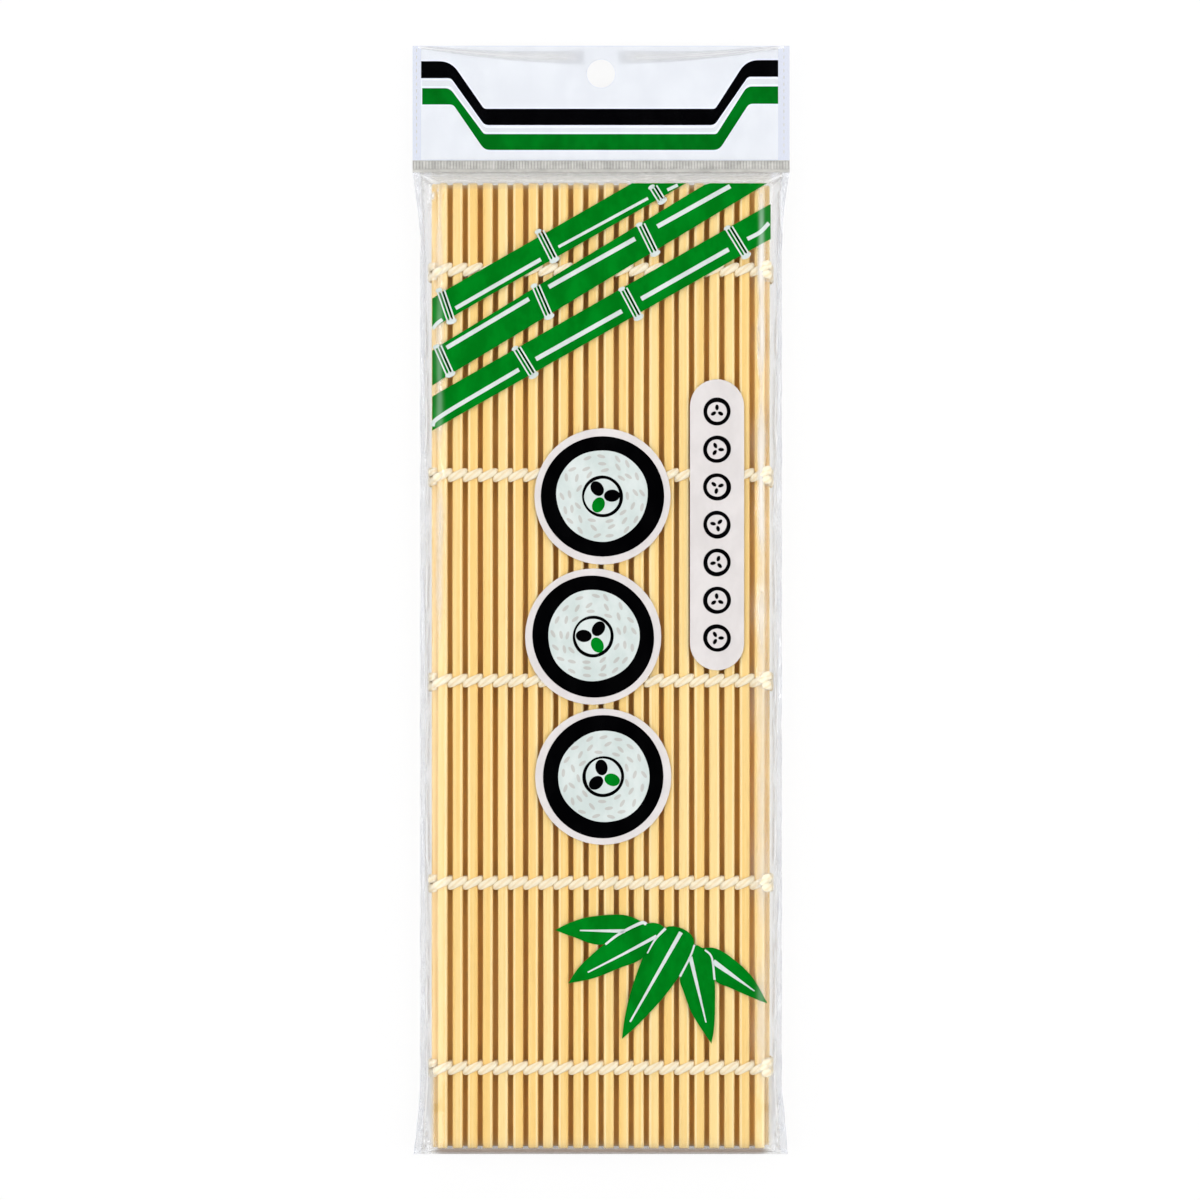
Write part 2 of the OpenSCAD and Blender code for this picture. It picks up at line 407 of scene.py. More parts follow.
def away(centre: Point, reach: float, degrees: float) -> Point:
    """Point at a distance from another in a direction."""
    angle = math.radians(degrees)
    return centre[0] + reach * math.cos(angle), centre[1] + reach * math.sin(angle)


def disc(centre: Point, radii: Point, tilt: float = 0.0) -> Grid:
    """Grid of an oval, turned by a tilt in degrees: its upper and lower half as two curves.

    Args:
        centre: Middle of the oval.
        radii: Its half length and half width.
        tilt: Its turn in degrees.

    Returns:
        The grid, shaped (25, 9, 2).
    """
    t = np.linspace(0, math.pi, 25)
    arc = np.stack([-np.cos(t) * radii[0], np.sin(t) * radii[1]], -1)
    c, s = away((0, 0), 1, tilt)
    turn = np.array([[c, s], [-s, c]])
    return band(arc @ turn + centre, (arc * [1, -1]) @ turn + centre, 9)


def ring(centre: Point, inner: float, outer: float, seed: int, uneven: float) -> Grid:
    """Grid of a brushed ring: polar lines between two radii that swell and thin.

    Args:
        centre: Middle of the ring.
        inner: Mean inner radius.
        outer: Mean outer radius.
        seed: Number that fixes how the ring swells.
        uneven: Share by which the inner radius changes.

    Returns:
        The grid, shaped (angles, radii, 2), whose rows close round the ring.
    """
    t = np.linspace(0, FULL_TURN, 73)[:-1]
    wobble = np.sin(t + seed) * 0.6 + np.sin(t * 3 + seed * 2.1) * 0.3 + np.sin(t * 7 + seed) * 0.1
    low = inner * (1 + uneven * wobble)
    high = outer * (1 + uneven * 0.35 * np.sin(t * 2 + seed * 1.7))
    radius = low[:, None] + (high - low)[:, None] * np.linspace(0, 1, 5)
    return np.stack([centre[0] + radius * np.cos(t)[:, None], centre[1] + radius * np.sin(t)[:, None]], -1)


@dataclass(frozen=True)
class Signal:
    """A socket that carries a value; Python's operators on it add Math nodes."""

    paint: "Paint"
    socket: bpy.types.NodeSocket

    def math(self, operation: str, *terms: "Term") -> "Signal":
        """Add one Math node that works on this value and the other terms."""
        return self.paint.signal("ShaderNodeMath", {"operation": operation}, dict(enumerate((self, *terms))))

    def __add__(self, other: "Term") -> "Signal":
        """Sum of two values."""
        return self.math("ADD", other)

    def __sub__(self, other: "Term") -> "Signal":
        """Difference of two values."""
        return self.math("SUBTRACT", other)

    def __rsub__(self, other: "Term") -> "Signal":
        """A number less this value."""
        return (self * -1.0) + other

    def __mul__(self, other: "Term") -> "Signal":
        """Product of two values."""
        return self.math("MULTIPLY", other)

    def __pow__(self, other: "Term") -> "Signal":
        """This value raised to a power."""
        return self.math("POWER", other)

    __radd__, __rmul__ = __add__, __mul__

    def wave(self) -> "Signal":
        """Sine of this value."""
        return self.math("SINE")

    def ramp(self, low: float, high: float) -> "Signal":
        """Smooth step from 0 at low to 1 at high."""
        return self.paint.signal("ShaderNodeMapRange", {"interpolation_type": "SMOOTHSTEP"},
                                 {0: self, 1: low, 2: high, 3: 0.0, 4: 1.0})


Term = Signal | float
Value = Signal | bpy.types.NodeSocket | float | tuple


class Paint:
    """A node tree and the few ways in which nodes are added to it."""

    def __init__(self, name: str, world: bpy.types.World | None = None) -> None:
        """Start an empty tree in a new material of that name, or in the given world.

        Args:
            name: Name of the new material.
            world: World to use in place of a new material.
        """
        self.owner = world or bpy.data.materials.new(name)
        self.owner.use_nodes = True
        self.tree = self.owner.node_tree
        self.tree.nodes.clear()

    def node(self, kind: str, settings: dict[str, str], inputs: dict[int | str, Value]) -> bpy.types.Node:
        """Add a node: its settings first, then the values or links of its sockets.

        Args:
            kind: The node's type.
            settings: Properties by name.
            inputs: Values, sockets or signals by the input's name or number.

        Returns:
            The new node.
        """
        node = self.tree.nodes.new(kind)
        for key, value in settings.items():
            setattr(node, key, value)
        for key, value in inputs.items():
            source = value.socket if isinstance(value, Signal) else value
            if isinstance(source, bpy.types.NodeSocket):
                self.tree.links.new(source, node.inputs[key])
            else:
                node.inputs[key].default_value = source
        return node

    def signal(self, kind: str, settings: dict[str, str], inputs: dict[int | str, Value],
               output: int | str = 0) -> Signal:
        """Add a node and return one of its outputs as a signal."""
        return Signal(self, self.node(kind, settings, inputs).outputs[output])

    def place(self, stretch: Place = (1.0, 1.0, 1.0)) -> Signal:
        """Object coordinates in millimetres, each multiplied by its own factor.

        Args:
            stretch: Factors along X, Y and Z.

        Returns:
            The coordinates.
        """
        at = self.signal("ShaderNodeTexCoord", {}, {}, "Object")
        return self.signal("ShaderNodeVectorMath", {"operation": "MULTIPLY"},
                           {0: at, 1: tuple(factor / MM for factor in stretch)})

    def part(self, vector: Signal, axis: str) -> Signal:
        """One coordinate of a vector."""
        return self.signal("ShaderNodeSeparateXYZ", {}, {0: vector}, axis)

    def noise(self, stretch: Place, scale: float, detail: float = 3.0, rough: float = 0.5) -> Signal:
        """Cloudy noise about 0.5 at a scale in cycles a millimetre, finer where stretch is larger."""
        return self.signal("ShaderNodeTexNoise", {}, {
            "Vector": self.place(stretch), "Scale": scale, "Detail": detail, "Roughness": rough})

    def attribute(self, name: str) -> Signal:
        """A number stored on the mesh's points."""
        return self.signal("ShaderNodeAttribute", {"attribute_name": name}, {}, "Fac")

    def blend(self, share: Value, first: Value, second: Value) -> Signal:
        """Mix two colours by a share from 0 to 1."""
        pair = [(*c, 1.0) if isinstance(c, tuple) else c for c in (first, second)]
        return self.signal("ShaderNodeMix", {"data_type": "RGBA"}, {0: share, 6: pair[0], 7: pair[1]}, 2)

    def bump(self, height: Signal, strength: float, distance_mm: float) -> Signal:
        """Normals of a relief of that height in millimetres."""
        return self.signal("ShaderNodeBump", {}, {
            "Strength": strength, "Distance": distance_mm * MM, "Height": height}, "Normal")

    def rays(self) -> list[Signal]:
        """Whether a ray comes from the camera, off something glossy or through something clear."""
        path = self.node("ShaderNodeLightPath", {}, {})
        return [Signal(self, path.outputs[f"Is {kind} Ray"]) for kind in ("Camera", "Glossy", "Transmission")]

    def surface(self, **inputs: Value) -> bpy.types.Node:
        """Add the Principled shader, with underscores in names standing for spaces.

        Args:
            **inputs: Values of its sockets by name.

        Returns:
            The shader's node.
        """
        sockets = {key.replace("_", " "): value for key, value in inputs.items()}
        if isinstance(sockets["Base Color"], tuple):
            sockets["Base Color"] = (*sockets["Base Color"], 1.0)
        return self.node("ShaderNodeBsdfPrincipled", {}, sockets)

    def clear(self, tint: Colour) -> bpy.types.Node:
        """Add a shader that lets light straight through with a tint."""
        return self.node("ShaderNodeBsdfTransparent", {}, {0: (*tint, 1.0)})

    def mix(self, share: Value, first: bpy.types.Node, second: bpy.types.Node) -> bpy.types.Node:
        """Mix two shaders by a share from 0 to 1."""
        return self.node("ShaderNodeMixShader", {}, {0: share, 1: first.outputs[0], 2: second.outputs[0]})

    def done(self, shader: bpy.types.Node, kind: str = "Material") -> bpy.types.Material | bpy.types.World:
        """Send a shader to the output and return the material or world."""
        self.node(f"ShaderNodeOutput{kind}", {}, {"Surface": shader.outputs[0]})
        return self.owner


@dataclass(frozen=True)
class Bamboo:
    """Split bamboo: fine fibres along Y, a painted highlight by one edge and darker end grain.

    The mesh says in "under" that a slat lies in a lower layer, whose colour is darkened as painted shade.
    """

    pale: Colour = linear(253, 224, 156)
    warm: Colour = linear(250, 211, 130)
    fibre: Colour = linear(229, 175, 88)
    edge_highlight: Colour = linear(255, 235, 183)
    end: Colour = linear(240, 204, 134)
    layer_shade: Colour = linear(245, 183, 80)

    def material(self) -> bpy.types.Material:
        """Build the bamboo material.

        Returns:
            The material.
        """
        paint = Paint("bamboo")
        across = paint.attribute("across")
        broad = paint.noise((1.0, 0.012, 1.0), 0.9, 2.0)
        fine = paint.noise((1.0, 0.02, 1.0), 7.0, 3.0, 0.6)
        clouds = (broad + paint.attribute("tone") * 0.3 - 0.15).ramp(0.28, 0.72)
        colour = paint.blend(clouds, self.warm, self.pale)
        colour = paint.blend(fine.ramp(0.56, 0.74) * 0.55, colour, self.fibre)
        # A lighter band by one edge of each slat: a painted highlight.
        edge = across.ramp(0.42, 0.6) * (1.0 - across.ramp(0.78, 0.95))
        colour = paint.blend(edge * 0.75, colour, self.edge_highlight)
        # The lower layers' slats get painted shade from the layers above.
        colour = paint.blend(paint.attribute("under") * 0.5, colour, self.layer_shade)
        half = SIZES.slat_len / 2
        along = (paint.part(paint.place(), "Y") - SIZES.y_middle).math("ABSOLUTE")
        pores = paint.noise((1.0, 1.0, 1.0), 5.0, 2.0).ramp(0.5, 0.62)
        colour = paint.blend(along.ramp(half - 0.5, half - 0.02) * (0.35 + pores * 0.5), colour, self.end)
        return paint.done(paint.surface(
            Base_Color=colour, Roughness=0.5 + fine * 0.16, Specular_IOR_Level=0.35,
            Normal=paint.bump(fine * 0.7 + broad * 0.3, 0.35, 0.06)))


@dataclass(frozen=True)
class CottonCord:
    """Soft cream cotton cord: plies that turn round it, with loose fibres."""

    light: Colour = linear(253, 244, 221)
    shade: Colour = linear(240, 219, 176)
    plies: float = 3.0
    turns: float = 2.2

    def material(self) -> bpy.types.Material:
        """Build the cord material from the UV map, U along and V round the cord.

        Returns:
            The material.
        """
        paint = Paint("cotton_cord")
        uv = paint.signal("ShaderNodeTexCoord", {}, {}, "UV")
        along, around = paint.part(uv, "X"), paint.part(uv, "Y")
        ply = ((around * self.plies + along * self.turns) * FULL_TURN).wave() * 0.5 + 0.5
        hairs = ((around * 17.0 + along * 9.0) * FULL_TURN).wave() * 0.5 + 0.5
        cloud = paint.noise((1.0, 1.0, 1.0), 1.6, 4.0, 0.65)
        # The grooves between the plies get painted shade, with a random cloud.
        groove_shade = (1.0 - ply) ** 3.0
        return paint.done(paint.surface(
            Base_Color=paint.blend(groove_shade * 0.65 + cloud * 0.3, self.light, self.shade), Roughness=0.86,
            Normal=paint.bump(ply * 0.8 + hairs * 0.14 + cloud * 0.35, 0.7, 0.2), Sheen_Weight=0.25,
            Specular_IOR_Level=0.2))


class FilmKind(Enum):
    """The clear films: a name, how much they show face on and at a slant, gloss, and tint."""

    POUCH = ("clear_pouch_film", 0.022, 0.55, 0.05, (0.985, 0.985, 0.985))
    HEADER = ("clear_header_film", 0.003, 0.5, 0.12, (0.945, 0.955, 0.985))


@dataclass(frozen=True)
class ClearFilm:
    """Thin clear film: see-through face on, streaked with light and grey where it slants.

    Where the film is gathered, at both ends of the pouch and along its sides, it is cloudy; at the
    foot it is brown with painted shadow and reflection of the mat. The mesh says how cloudy in
    "haze", how much of that painted brown it shows in "umber", where it is cool grey in "lip",
    where it is gathered in "ends", and where painted highlights lie in "glint": along sharp folds,
    the lip and the film's shoulders.
    """

    kind: FilmKind
    bright: Colour = (0.95, 0.955, 0.97)
    dull: Colour = linear(222, 224, 230)
    cloud: Colour = linear(214, 212, 205)
    mat_shadow_reflection: Colour = linear(128, 98, 76)
    cool: Colour = linear(229, 232, 240)
    shine: Colour = (0.98, 0.98, 0.99)

    def material(self) -> bpy.types.Material:
        """Build the film as a mix of clear, glossy and cloudy shaders.

        Returns:
            The material.
        """
        name, face_on, slant, gloss, tint = self.kind.value
        paint = Paint(name)
        facing = paint.signal("ShaderNodeLayerWeight", {}, {"Blend": 0.5}, "Facing")
        patch = paint.noise((1.0, 0.25, 1.0), 0.12, 4.0).ramp(0.4, 0.75)
        ripple = paint.noise((1.0, 0.22, 1.0), 0.22, 3.0, 0.55)
        crease = paint.noise((0.7, 0.3, 0.7), 0.9, 2.0)
        streak = paint.noise((1.0, 0.05, 1.0), 1.3, 3.0, 0.6).ramp(0.38, 0.6)
        gather = paint.noise((0.16, 1.0, 1.0), 1.1, 4.0, 0.65).ramp(0.3, 0.7)
        glossy = paint.surface(
            Base_Color=paint.blend(streak, self.dull, self.bright), Metallic=1.0,
            Roughness=gloss + patch * 0.06, Normal=paint.bump(ripple * 0.8 + crease * 0.2, 0.28, 0.5))
        shown = face_on + patch * (face_on * 0.5) + (facing ** 3.0) * slant
        thin = paint.mix(shown, paint.clear(tint), glossy)
        # Painted highlights in "glint" turn the film milky white.
        glint = paint.attribute("glint")
        colour = paint.blend(paint.attribute("lip"), self.cloud, self.cool)
        # Brown painted shadow and reflection of the mat at the foot.
        colour = paint.blend(paint.attribute("mat_shadow_reflection"), colour, self.mat_shadow_reflection)
        milky = paint.surface(Base_Color=paint.blend(glint, colour, self.shine), Roughness=0.35)
        mottle = 1.0 - (1.0 - gather) * paint.attribute("ends") * 0.6
        haze = paint.attribute("haze") * mottle * (0.9 + streak * 0.1) * (1.0 - glint) + glint * 0.8
        return paint.done(paint.mix(haze, thin, milky))


@dataclass(frozen=True)
class WeldedFilm:
    """Film pressed between heated ribs: milky, with painted light on the ribs and painted shade between them.
    """

    groove_shade: Colour = linear(150, 149, 145)
    crest_highlight: Colour = linear(205, 204, 200)

    def material(self) -> bpy.types.Material:
        """Build the welded film from the mesh's "rib", which is 1 on top of a rib, where light is painted.

        Returns:
            The material.
        """
        paint = Paint("welded_film")
        cloud = paint.noise((0.5, 1.0, 1.0), 0.5, 4.0, 0.6)
        # Painted light on the ribs and painted shade between them, with a random cloud.
        tone = (paint.attribute("rib") * 0.7 + cloud * 0.5 - 0.1).ramp(0.1, 0.9)
        milky = paint.surface(
            Base_Color=paint.blend(tone, self.groove_shade, self.crest_highlight), Roughness=0.22 + cloud * 0.2,
            Specular_IOR_Level=0.5, Normal=paint.bump(cloud, 0.3, 0.2))
        return paint.done(paint.mix(0.7 + cloud * 0.4, paint.clear((0.95, 0.95, 0.95)), milky))


class Ink(Enum):
    """The printing inks: a name, a colour, a darker cloud in it, and how much the ink hides."""

    GREEN = ("green_ink", linear(0, 128, 29), linear(0, 106, 19), 0.99)
    BLACK = ("black_ink", linear(5, 5, 6), linear(1, 1, 2), 1.0)
    WHITE = ("white_ink", linear(216, 223, 221), linear(198, 209, 206), 0.97)
    VEIL = ("veil_ink", linear(229, 224, 223), linear(219, 214, 213), 0.88)
    SHEET = ("header_white", linear(247, 246, 239), linear(240, 239, 233), 1.0)
    STRIP = ("grey_ink", linear(239, 238, 232), linear(234, 233, 228), 1.0)
    GRAIN = ("grain_ink", linear(196, 196, 192), linear(182, 182, 178), 1.0)
    # This ink also paints the highlights along the header's folds.
    LINE = ("bright_ink", linear(255, 255, 255), linear(250, 250, 252), 1.0)


Finishes = dict[Ink, bpy.types.Material]
Edge = tuple[tuple[float, ...], tuple[float, ...], tuple[float, ...]]


@dataclass(frozen=True)
class PrintedInk:
    """Glossy gravure ink on film: a faint cloud in its colour and the film's own waves.

    The mesh says in "sheen" how much painted highlight from the film's shoulder lies over the ink,
    and in "fade" where the ink thins out, as the painted highlights on the header do.
    """

    ink: Ink
    glow: Colour = (0.8, 0.95, 0.88)

    def material(self) -> bpy.types.Material:
        """Build the ink material.

        Returns:
            The material.
        """
        name, light, dark, cover = self.ink.value
        paint = Paint(name)
        cloud = paint.noise((1.0, 0.6, 1.0), 0.16, 4.0, 0.6).ramp(0.35, 0.7)
        grain = paint.noise((1.0, 1.0, 1.0), 2.4, 2.0)
        ripple = paint.noise((1.0, 0.22, 1.0), 0.22, 3.0, 0.55)
        colour = paint.blend(cloud * 0.8 + grain * 0.2, dark, light)
        return paint.done(paint.surface(
            # The sheen mixes in the glow colour as a painted highlight.
            Base_Color=paint.blend(paint.attribute("sheen") * 0.28, colour, self.glow),
            Roughness=0.05 + grain * 0.06, Alpha=(1.0 - paint.attribute("fade")) * cover,
            Specular_IOR_Level=0.05, Normal=paint.bump(ripple, 0.25, 0.4)))


@dataclass
class Slats:
    """The bamboo slats: rounded bars along Y, each a little uneven."""

    sizes: MatSizes
    face: float = 2.82
    edge: float = 0.5
    end: float = 0.6
    corner_points: int = 5
    stations: int = 44

    def rings(self, places: Grid, seeds: list[int]) -> tuple[Grid, Grid]:
        """Points of several bars.

        The section is four corner centres, each with an arc of points round it. It shrinks near
        both ends by the end radius less the circle's height there, and the bar wanders sideways
        by a few hundredths of a millimetre along its length.

        Args:
            places: X, Z and direction of each bar.
            seeds: A number for each bar that fixes its unevenness.

        Returns:
            The points, shaped (bars, stations, section, 3), and each point's place across.
        """
        arc = np.radians(np.linspace(0, 90, self.corner_points))
        angle = np.concatenate([arc + math.pi / 2 * k for k in range(4)])
        side_u = np.repeat([1, -1, -1, 1], self.corner_points)
        side_n = np.repeat([1, 1, -1, -1], self.corner_points)
        half = self.sizes.slat_len / 2
        tip = np.sort(half - self.end * (1 - np.cos(np.radians([0, 22, 45, 68, 90]))))
        along = np.concatenate([-tip[::-1], np.linspace(-tip[0], tip[0], self.stations)[1:-1], tip])
        depth = unit((np.abs(along) - half + self.end) / self.end)
        shrink = self.end * 0.8 * (1 - np.sqrt(unit(1 - depth ** 2)))
        inset = np.clip(self.edge - shrink, 0.02, None)[:, None]
        squeeze = np.clip(shrink - self.edge + 0.02, 0, None)[:, None]
        u = side_u * (self.face / 2 - self.edge - squeeze) + np.cos(angle) * inset
        n = side_n * (self.sizes.slat_t / 2 - self.edge - squeeze) + np.sin(angle) * inset
        uneven = np.array([
            [1 + np.random.default_rng(900 + seed).normal(0, 0.012) + 0.012 * waves(along, seed, 180, 40, 3),
             0.07 * waves(along, seed + 50, 260, 90, 3), 0.03 * waves(along, seed + 90, 200, 60, 3)]
            for seed in seeds])
        width, drift, lift = np.moveaxis(uneven, 1, 0)[..., None]
        x, z = turned(places[:, None, None, :], u * width + drift, n + lift)
        y = np.broadcast_to((along + self.sizes.y_middle)[None, :, None], x.shape)
        flips = np.array([1.0 if seed % 3 else -1.0 for seed in seeds])[:, None, None]
        return np.stack([x, y, z], -1), np.broadcast_to(u / (self.face / 2), x.shape) * flips

    def put(self, node: str, body: str, places: Grid, seed: int, material: bpy.types.Material) -> None:
        """Build one piece of one or more slats in place of its node.

        Args:
            node: The CAD node.
            body: The body that it rides on.
            places: X, Z and direction of each slat.
            seed: Number that fixes the first slat's unevenness; the others count on from it.
            material: The bamboo.
        """
        seeds = [seed + i for i in range(len(places))]
        rings, share = self.rings(places, seeds)
        tones = np.array([np.random.default_rng(400 + s).uniform() for s in seeds])[:, None, None]
        # The lower layers, without the slats that stand in the folds; their colour gets painted shade.
        lower = places[0, 1] < self.sizes.z_middle + 1 and abs(places[0, 0]) < self.sizes.fold_x - 0.5
        skin = Skin().add(rings, across=share, tone=tones, under=np.float64(lower))
        settle(skin.build(f"bamboo_{node}", material, sharp=50), body, "bamboo", node)

    def build(self, material: bpy.types.Material) -> None:
        """Build every slat.

        Args:
            material: The bamboo.
        """
        sizes = self.sizes
        for k, place in enumerate(sizes.top_places(), start=1):
            self.put(f"top_slat_{k:02d}", f"top_slat_{k:02d}", place[None], k, material)
        for side, word, seed in ((1, "right", 23), (-1, "left", 24)):
            self.put(f"{word}_side_slat", f"{word}_fold", sizes.side_place(side), seed, material)
        runs = (("middle", sizes.middle_places(), 30), ("bottom", sizes.bottom_places(), 60))
        for word, places, seed in runs:
            for k in range(0, len(places), 3):
                node = f"{word}_slats_{k // 3 + 1}"
                self.put(node, f"{word}_panel", places[k:k + 3], seed + k, material)
        log.info("slats: %d top, 2 side, %d middle, %d bottom", sizes.top_count, len(runs[0][1]),
                 sizes.bottom_count)


@dataclass
class Twine:
    """The cotton cord: two strands that swap faces in every gap, over and under each slat."""

    sizes: MatSizes
    swing: float = 0.96
    half_width: float = 1.03
    half_thick: float = 0.45
    sides: int = 8
    end_radii: Point = (1.85, 1.6)
    end_shifts: Point = (1.2, -1.5)
    end_inset: float = 1.0
    fold_radii: Point = (1.75, 2.2)
    fold_shifts: Point = (0.8, -1.9)

    def wrap(self, before: float, after: float) -> tuple[Grid, Grid, Grid]:
        """Centre line of the strand on top of one slat.

        It starts in the gap before the slat at half height, climbs steeply past the edge, runs
        across the face and dives into the gap after it, and crosses the row on its way.

        Args:
            before: Distance from the slat's middle back to where the strand starts.
            after: Distance on to where it ends.

        Returns:
            Offsets across the mat, normal to it and along the slats.
        """
        bulge = np.array([0.24, 0.36, 0.08, -0.52])
        climb = np.array([0.0, 0.78, 1.34, 1.6])
        swing = np.array([1.0, 1.0, 0.95, 0.75])
        across = np.concatenate([-(before + bulge), [0.0], (after + bulge)[::-1]])
        normal = np.concatenate([climb, [1.66], climb[::-1]])
        return across, normal, self.swing * np.concatenate([-swing, [0.0], swing[::-1]])

    def tubes(self, x: Grid, y: Grid, z: Grid, fullness: Grid | float) -> Grid:
        """Rings of flat round tubes along paths: the wide way lies along Y, across the path.

        Args:
            x: The paths' X, with points along the last axis.
            y: Their Y.
            z: Their Z.
            fullness: Factor on the thickness at each point.

        Returns:
            The rings, one shell a path.
        """
        x, y, z = np.broadcast_arrays(x, y, z)
        paths = np.stack([x, y, z], -1).reshape(-1, x.shape[-1], 3)
        tangent = np.gradient(paths, axis=-2)
        tangent /= np.linalg.norm(tangent, axis=-1, keepdims=True)
        wide = np.array([0.0, 1.0, 0.0]) - tangent * tangent[..., 1:2]
        wide /= np.linalg.norm(wide, axis=-1, keepdims=True)
        angle = FULL_TURN * np.arange(self.sides) / self.sides
        rim = (wide[..., None, :] * (np.cos(angle) * self.half_width)[:, None]
               + np.cross(tangent, wide)[..., None, :] * (np.sin(angle) * self.half_thick)[:, None])
        return paths[..., None, :] + rim * np.broadcast_to(fullness, paths.shape[:2])[..., None, None]

    def strands(self, places: Grid, before: float, after: float) -> Grid:
        """Rings of both strands on the given slats in all five rows.

        Args:
            places: X, Z and direction of each slat.
            before: Distance from a slat's middle back to where a strand starts.
            after: Distance on to where it ends.

        Returns:
            The rings, one shell a strand.
        """
        across, normal, along = self.wrap(before, after)
        face = np.array([1.0, -1.0])[None, None, :, None]
        rows = np.array(self.sizes.rows)[None, :, None, None]
        x, z = turned(places[:, None, None, None, :], across, normal * face)
        full = np.array([0.82, 0.92, 1.0, 1.06, 1.1, 1.06, 1.0, 0.92, 0.82])
        return self.tubes(x, rows + along * face, z, full)

    def bridges(self) -> Grid:
        """Rings of the short straight stretches from both folds to the middle panel.

        Returns:
            The rings, one shell a stretch.
        """
        side = np.array([1.0, -1.0])[:, None, None, None]
        hand = np.array([1.0, -1.0])[None, None, :, None]
        rows = np.array(self.sizes.rows)[None, :, None, None]
        x = side * (self.sizes.fold_x - self.sizes.pitch / 2 * np.linspace(0, 1, 4))
        return self.tubes(x, rows + hand * self.swing, self.sizes.z_middle, 0.86)

    def loops(self, centre: Point, radii: Point, side: int, shifts: Point) -> Grid:
        """Rings of two short loops a row, round a slat's outer edge: part of an oval in X and Z.

        Args:
            centre: X and Z of the ovals' middle.
            radii: Their half width and half height.
            side: 1 where they bulge to the right and -1 where they bulge to the left.
            shifts: How far each lies above the middle of its row, along Y.

        Returns:
            The rings, one shell a loop.
        """
        t = np.radians(np.linspace(-80, 106, 11))
        rows = (np.array(self.sizes.rows)[:, None] + np.array(shifts)).reshape(-1, 1)
        full = 1.0 + 0.22 * np.sin(np.linspace(0, math.pi, 11))
        return self.tubes(centre[0] + side * radii[0] * np.cos(t), rows + 0.25 * np.sin(t),
                          centre[1] + radii[1] * np.sin(t), full)

    def build(self, material: bpy.types.Material) -> None:
        """Build the cord piece by piece, so that each stretch rides with its own slat.

        Args:
            material: The cotton.
        """
        sizes = self.sizes
        half = sizes.pitch / 2
        first = (sizes.fold_x - self.end_inset, sizes.z_top)
        last = (sizes.fold_x - sizes.bottom_count * sizes.pitch + self.end_inset, sizes.z_bottom)
        cords: dict[str, tuple[str, Skin]] = {}
        for k, place in enumerate(sizes.top_places(), start=1):
            skin = Skin().add(self.strands(place[None], half, half))
            if k == sizes.top_count:
                skin.add(self.loops(first, self.end_radii, 1, self.end_shifts))
            cords[f"cord_top_{k:02d}"] = f"top_slat_{k:02d}", skin
        spans = (sizes.fold_rise, sizes.layer_step - sizes.fold_rise)
        for side, word in ((1, "right"), (-1, "left")):
            place = sizes.side_place(side)
            skin = Skin().add(self.strands(place, *spans[::side]))
            skin.add(self.loops((place[0, 0], place[0, 1]), self.fold_radii, side, self.fold_shifts))
            cords[f"cord_{word}_fold"] = f"{word}_fold", skin
        middle = Skin().add(self.strands(sizes.middle_places(), half, half)).add(self.bridges())
        bottom = Skin().add(self.strands(sizes.bottom_places(), half, half))
        bottom.add(self.loops(last, self.end_radii, -1, self.end_shifts))
        cords |= {"cord_middle": ("middle_panel", middle), "cord_bottom": ("bottom_panel", bottom)}
        rows = [f"cord_row_{k}" for k in range(1, 6)]
        for name, (body, skin) in cords.items():
            settle(skin.build(name, material), body, "cotton_cord", *rows)
        log.info("cord: 5 rows of two strands on 63 slats, with loops at folds and ends")


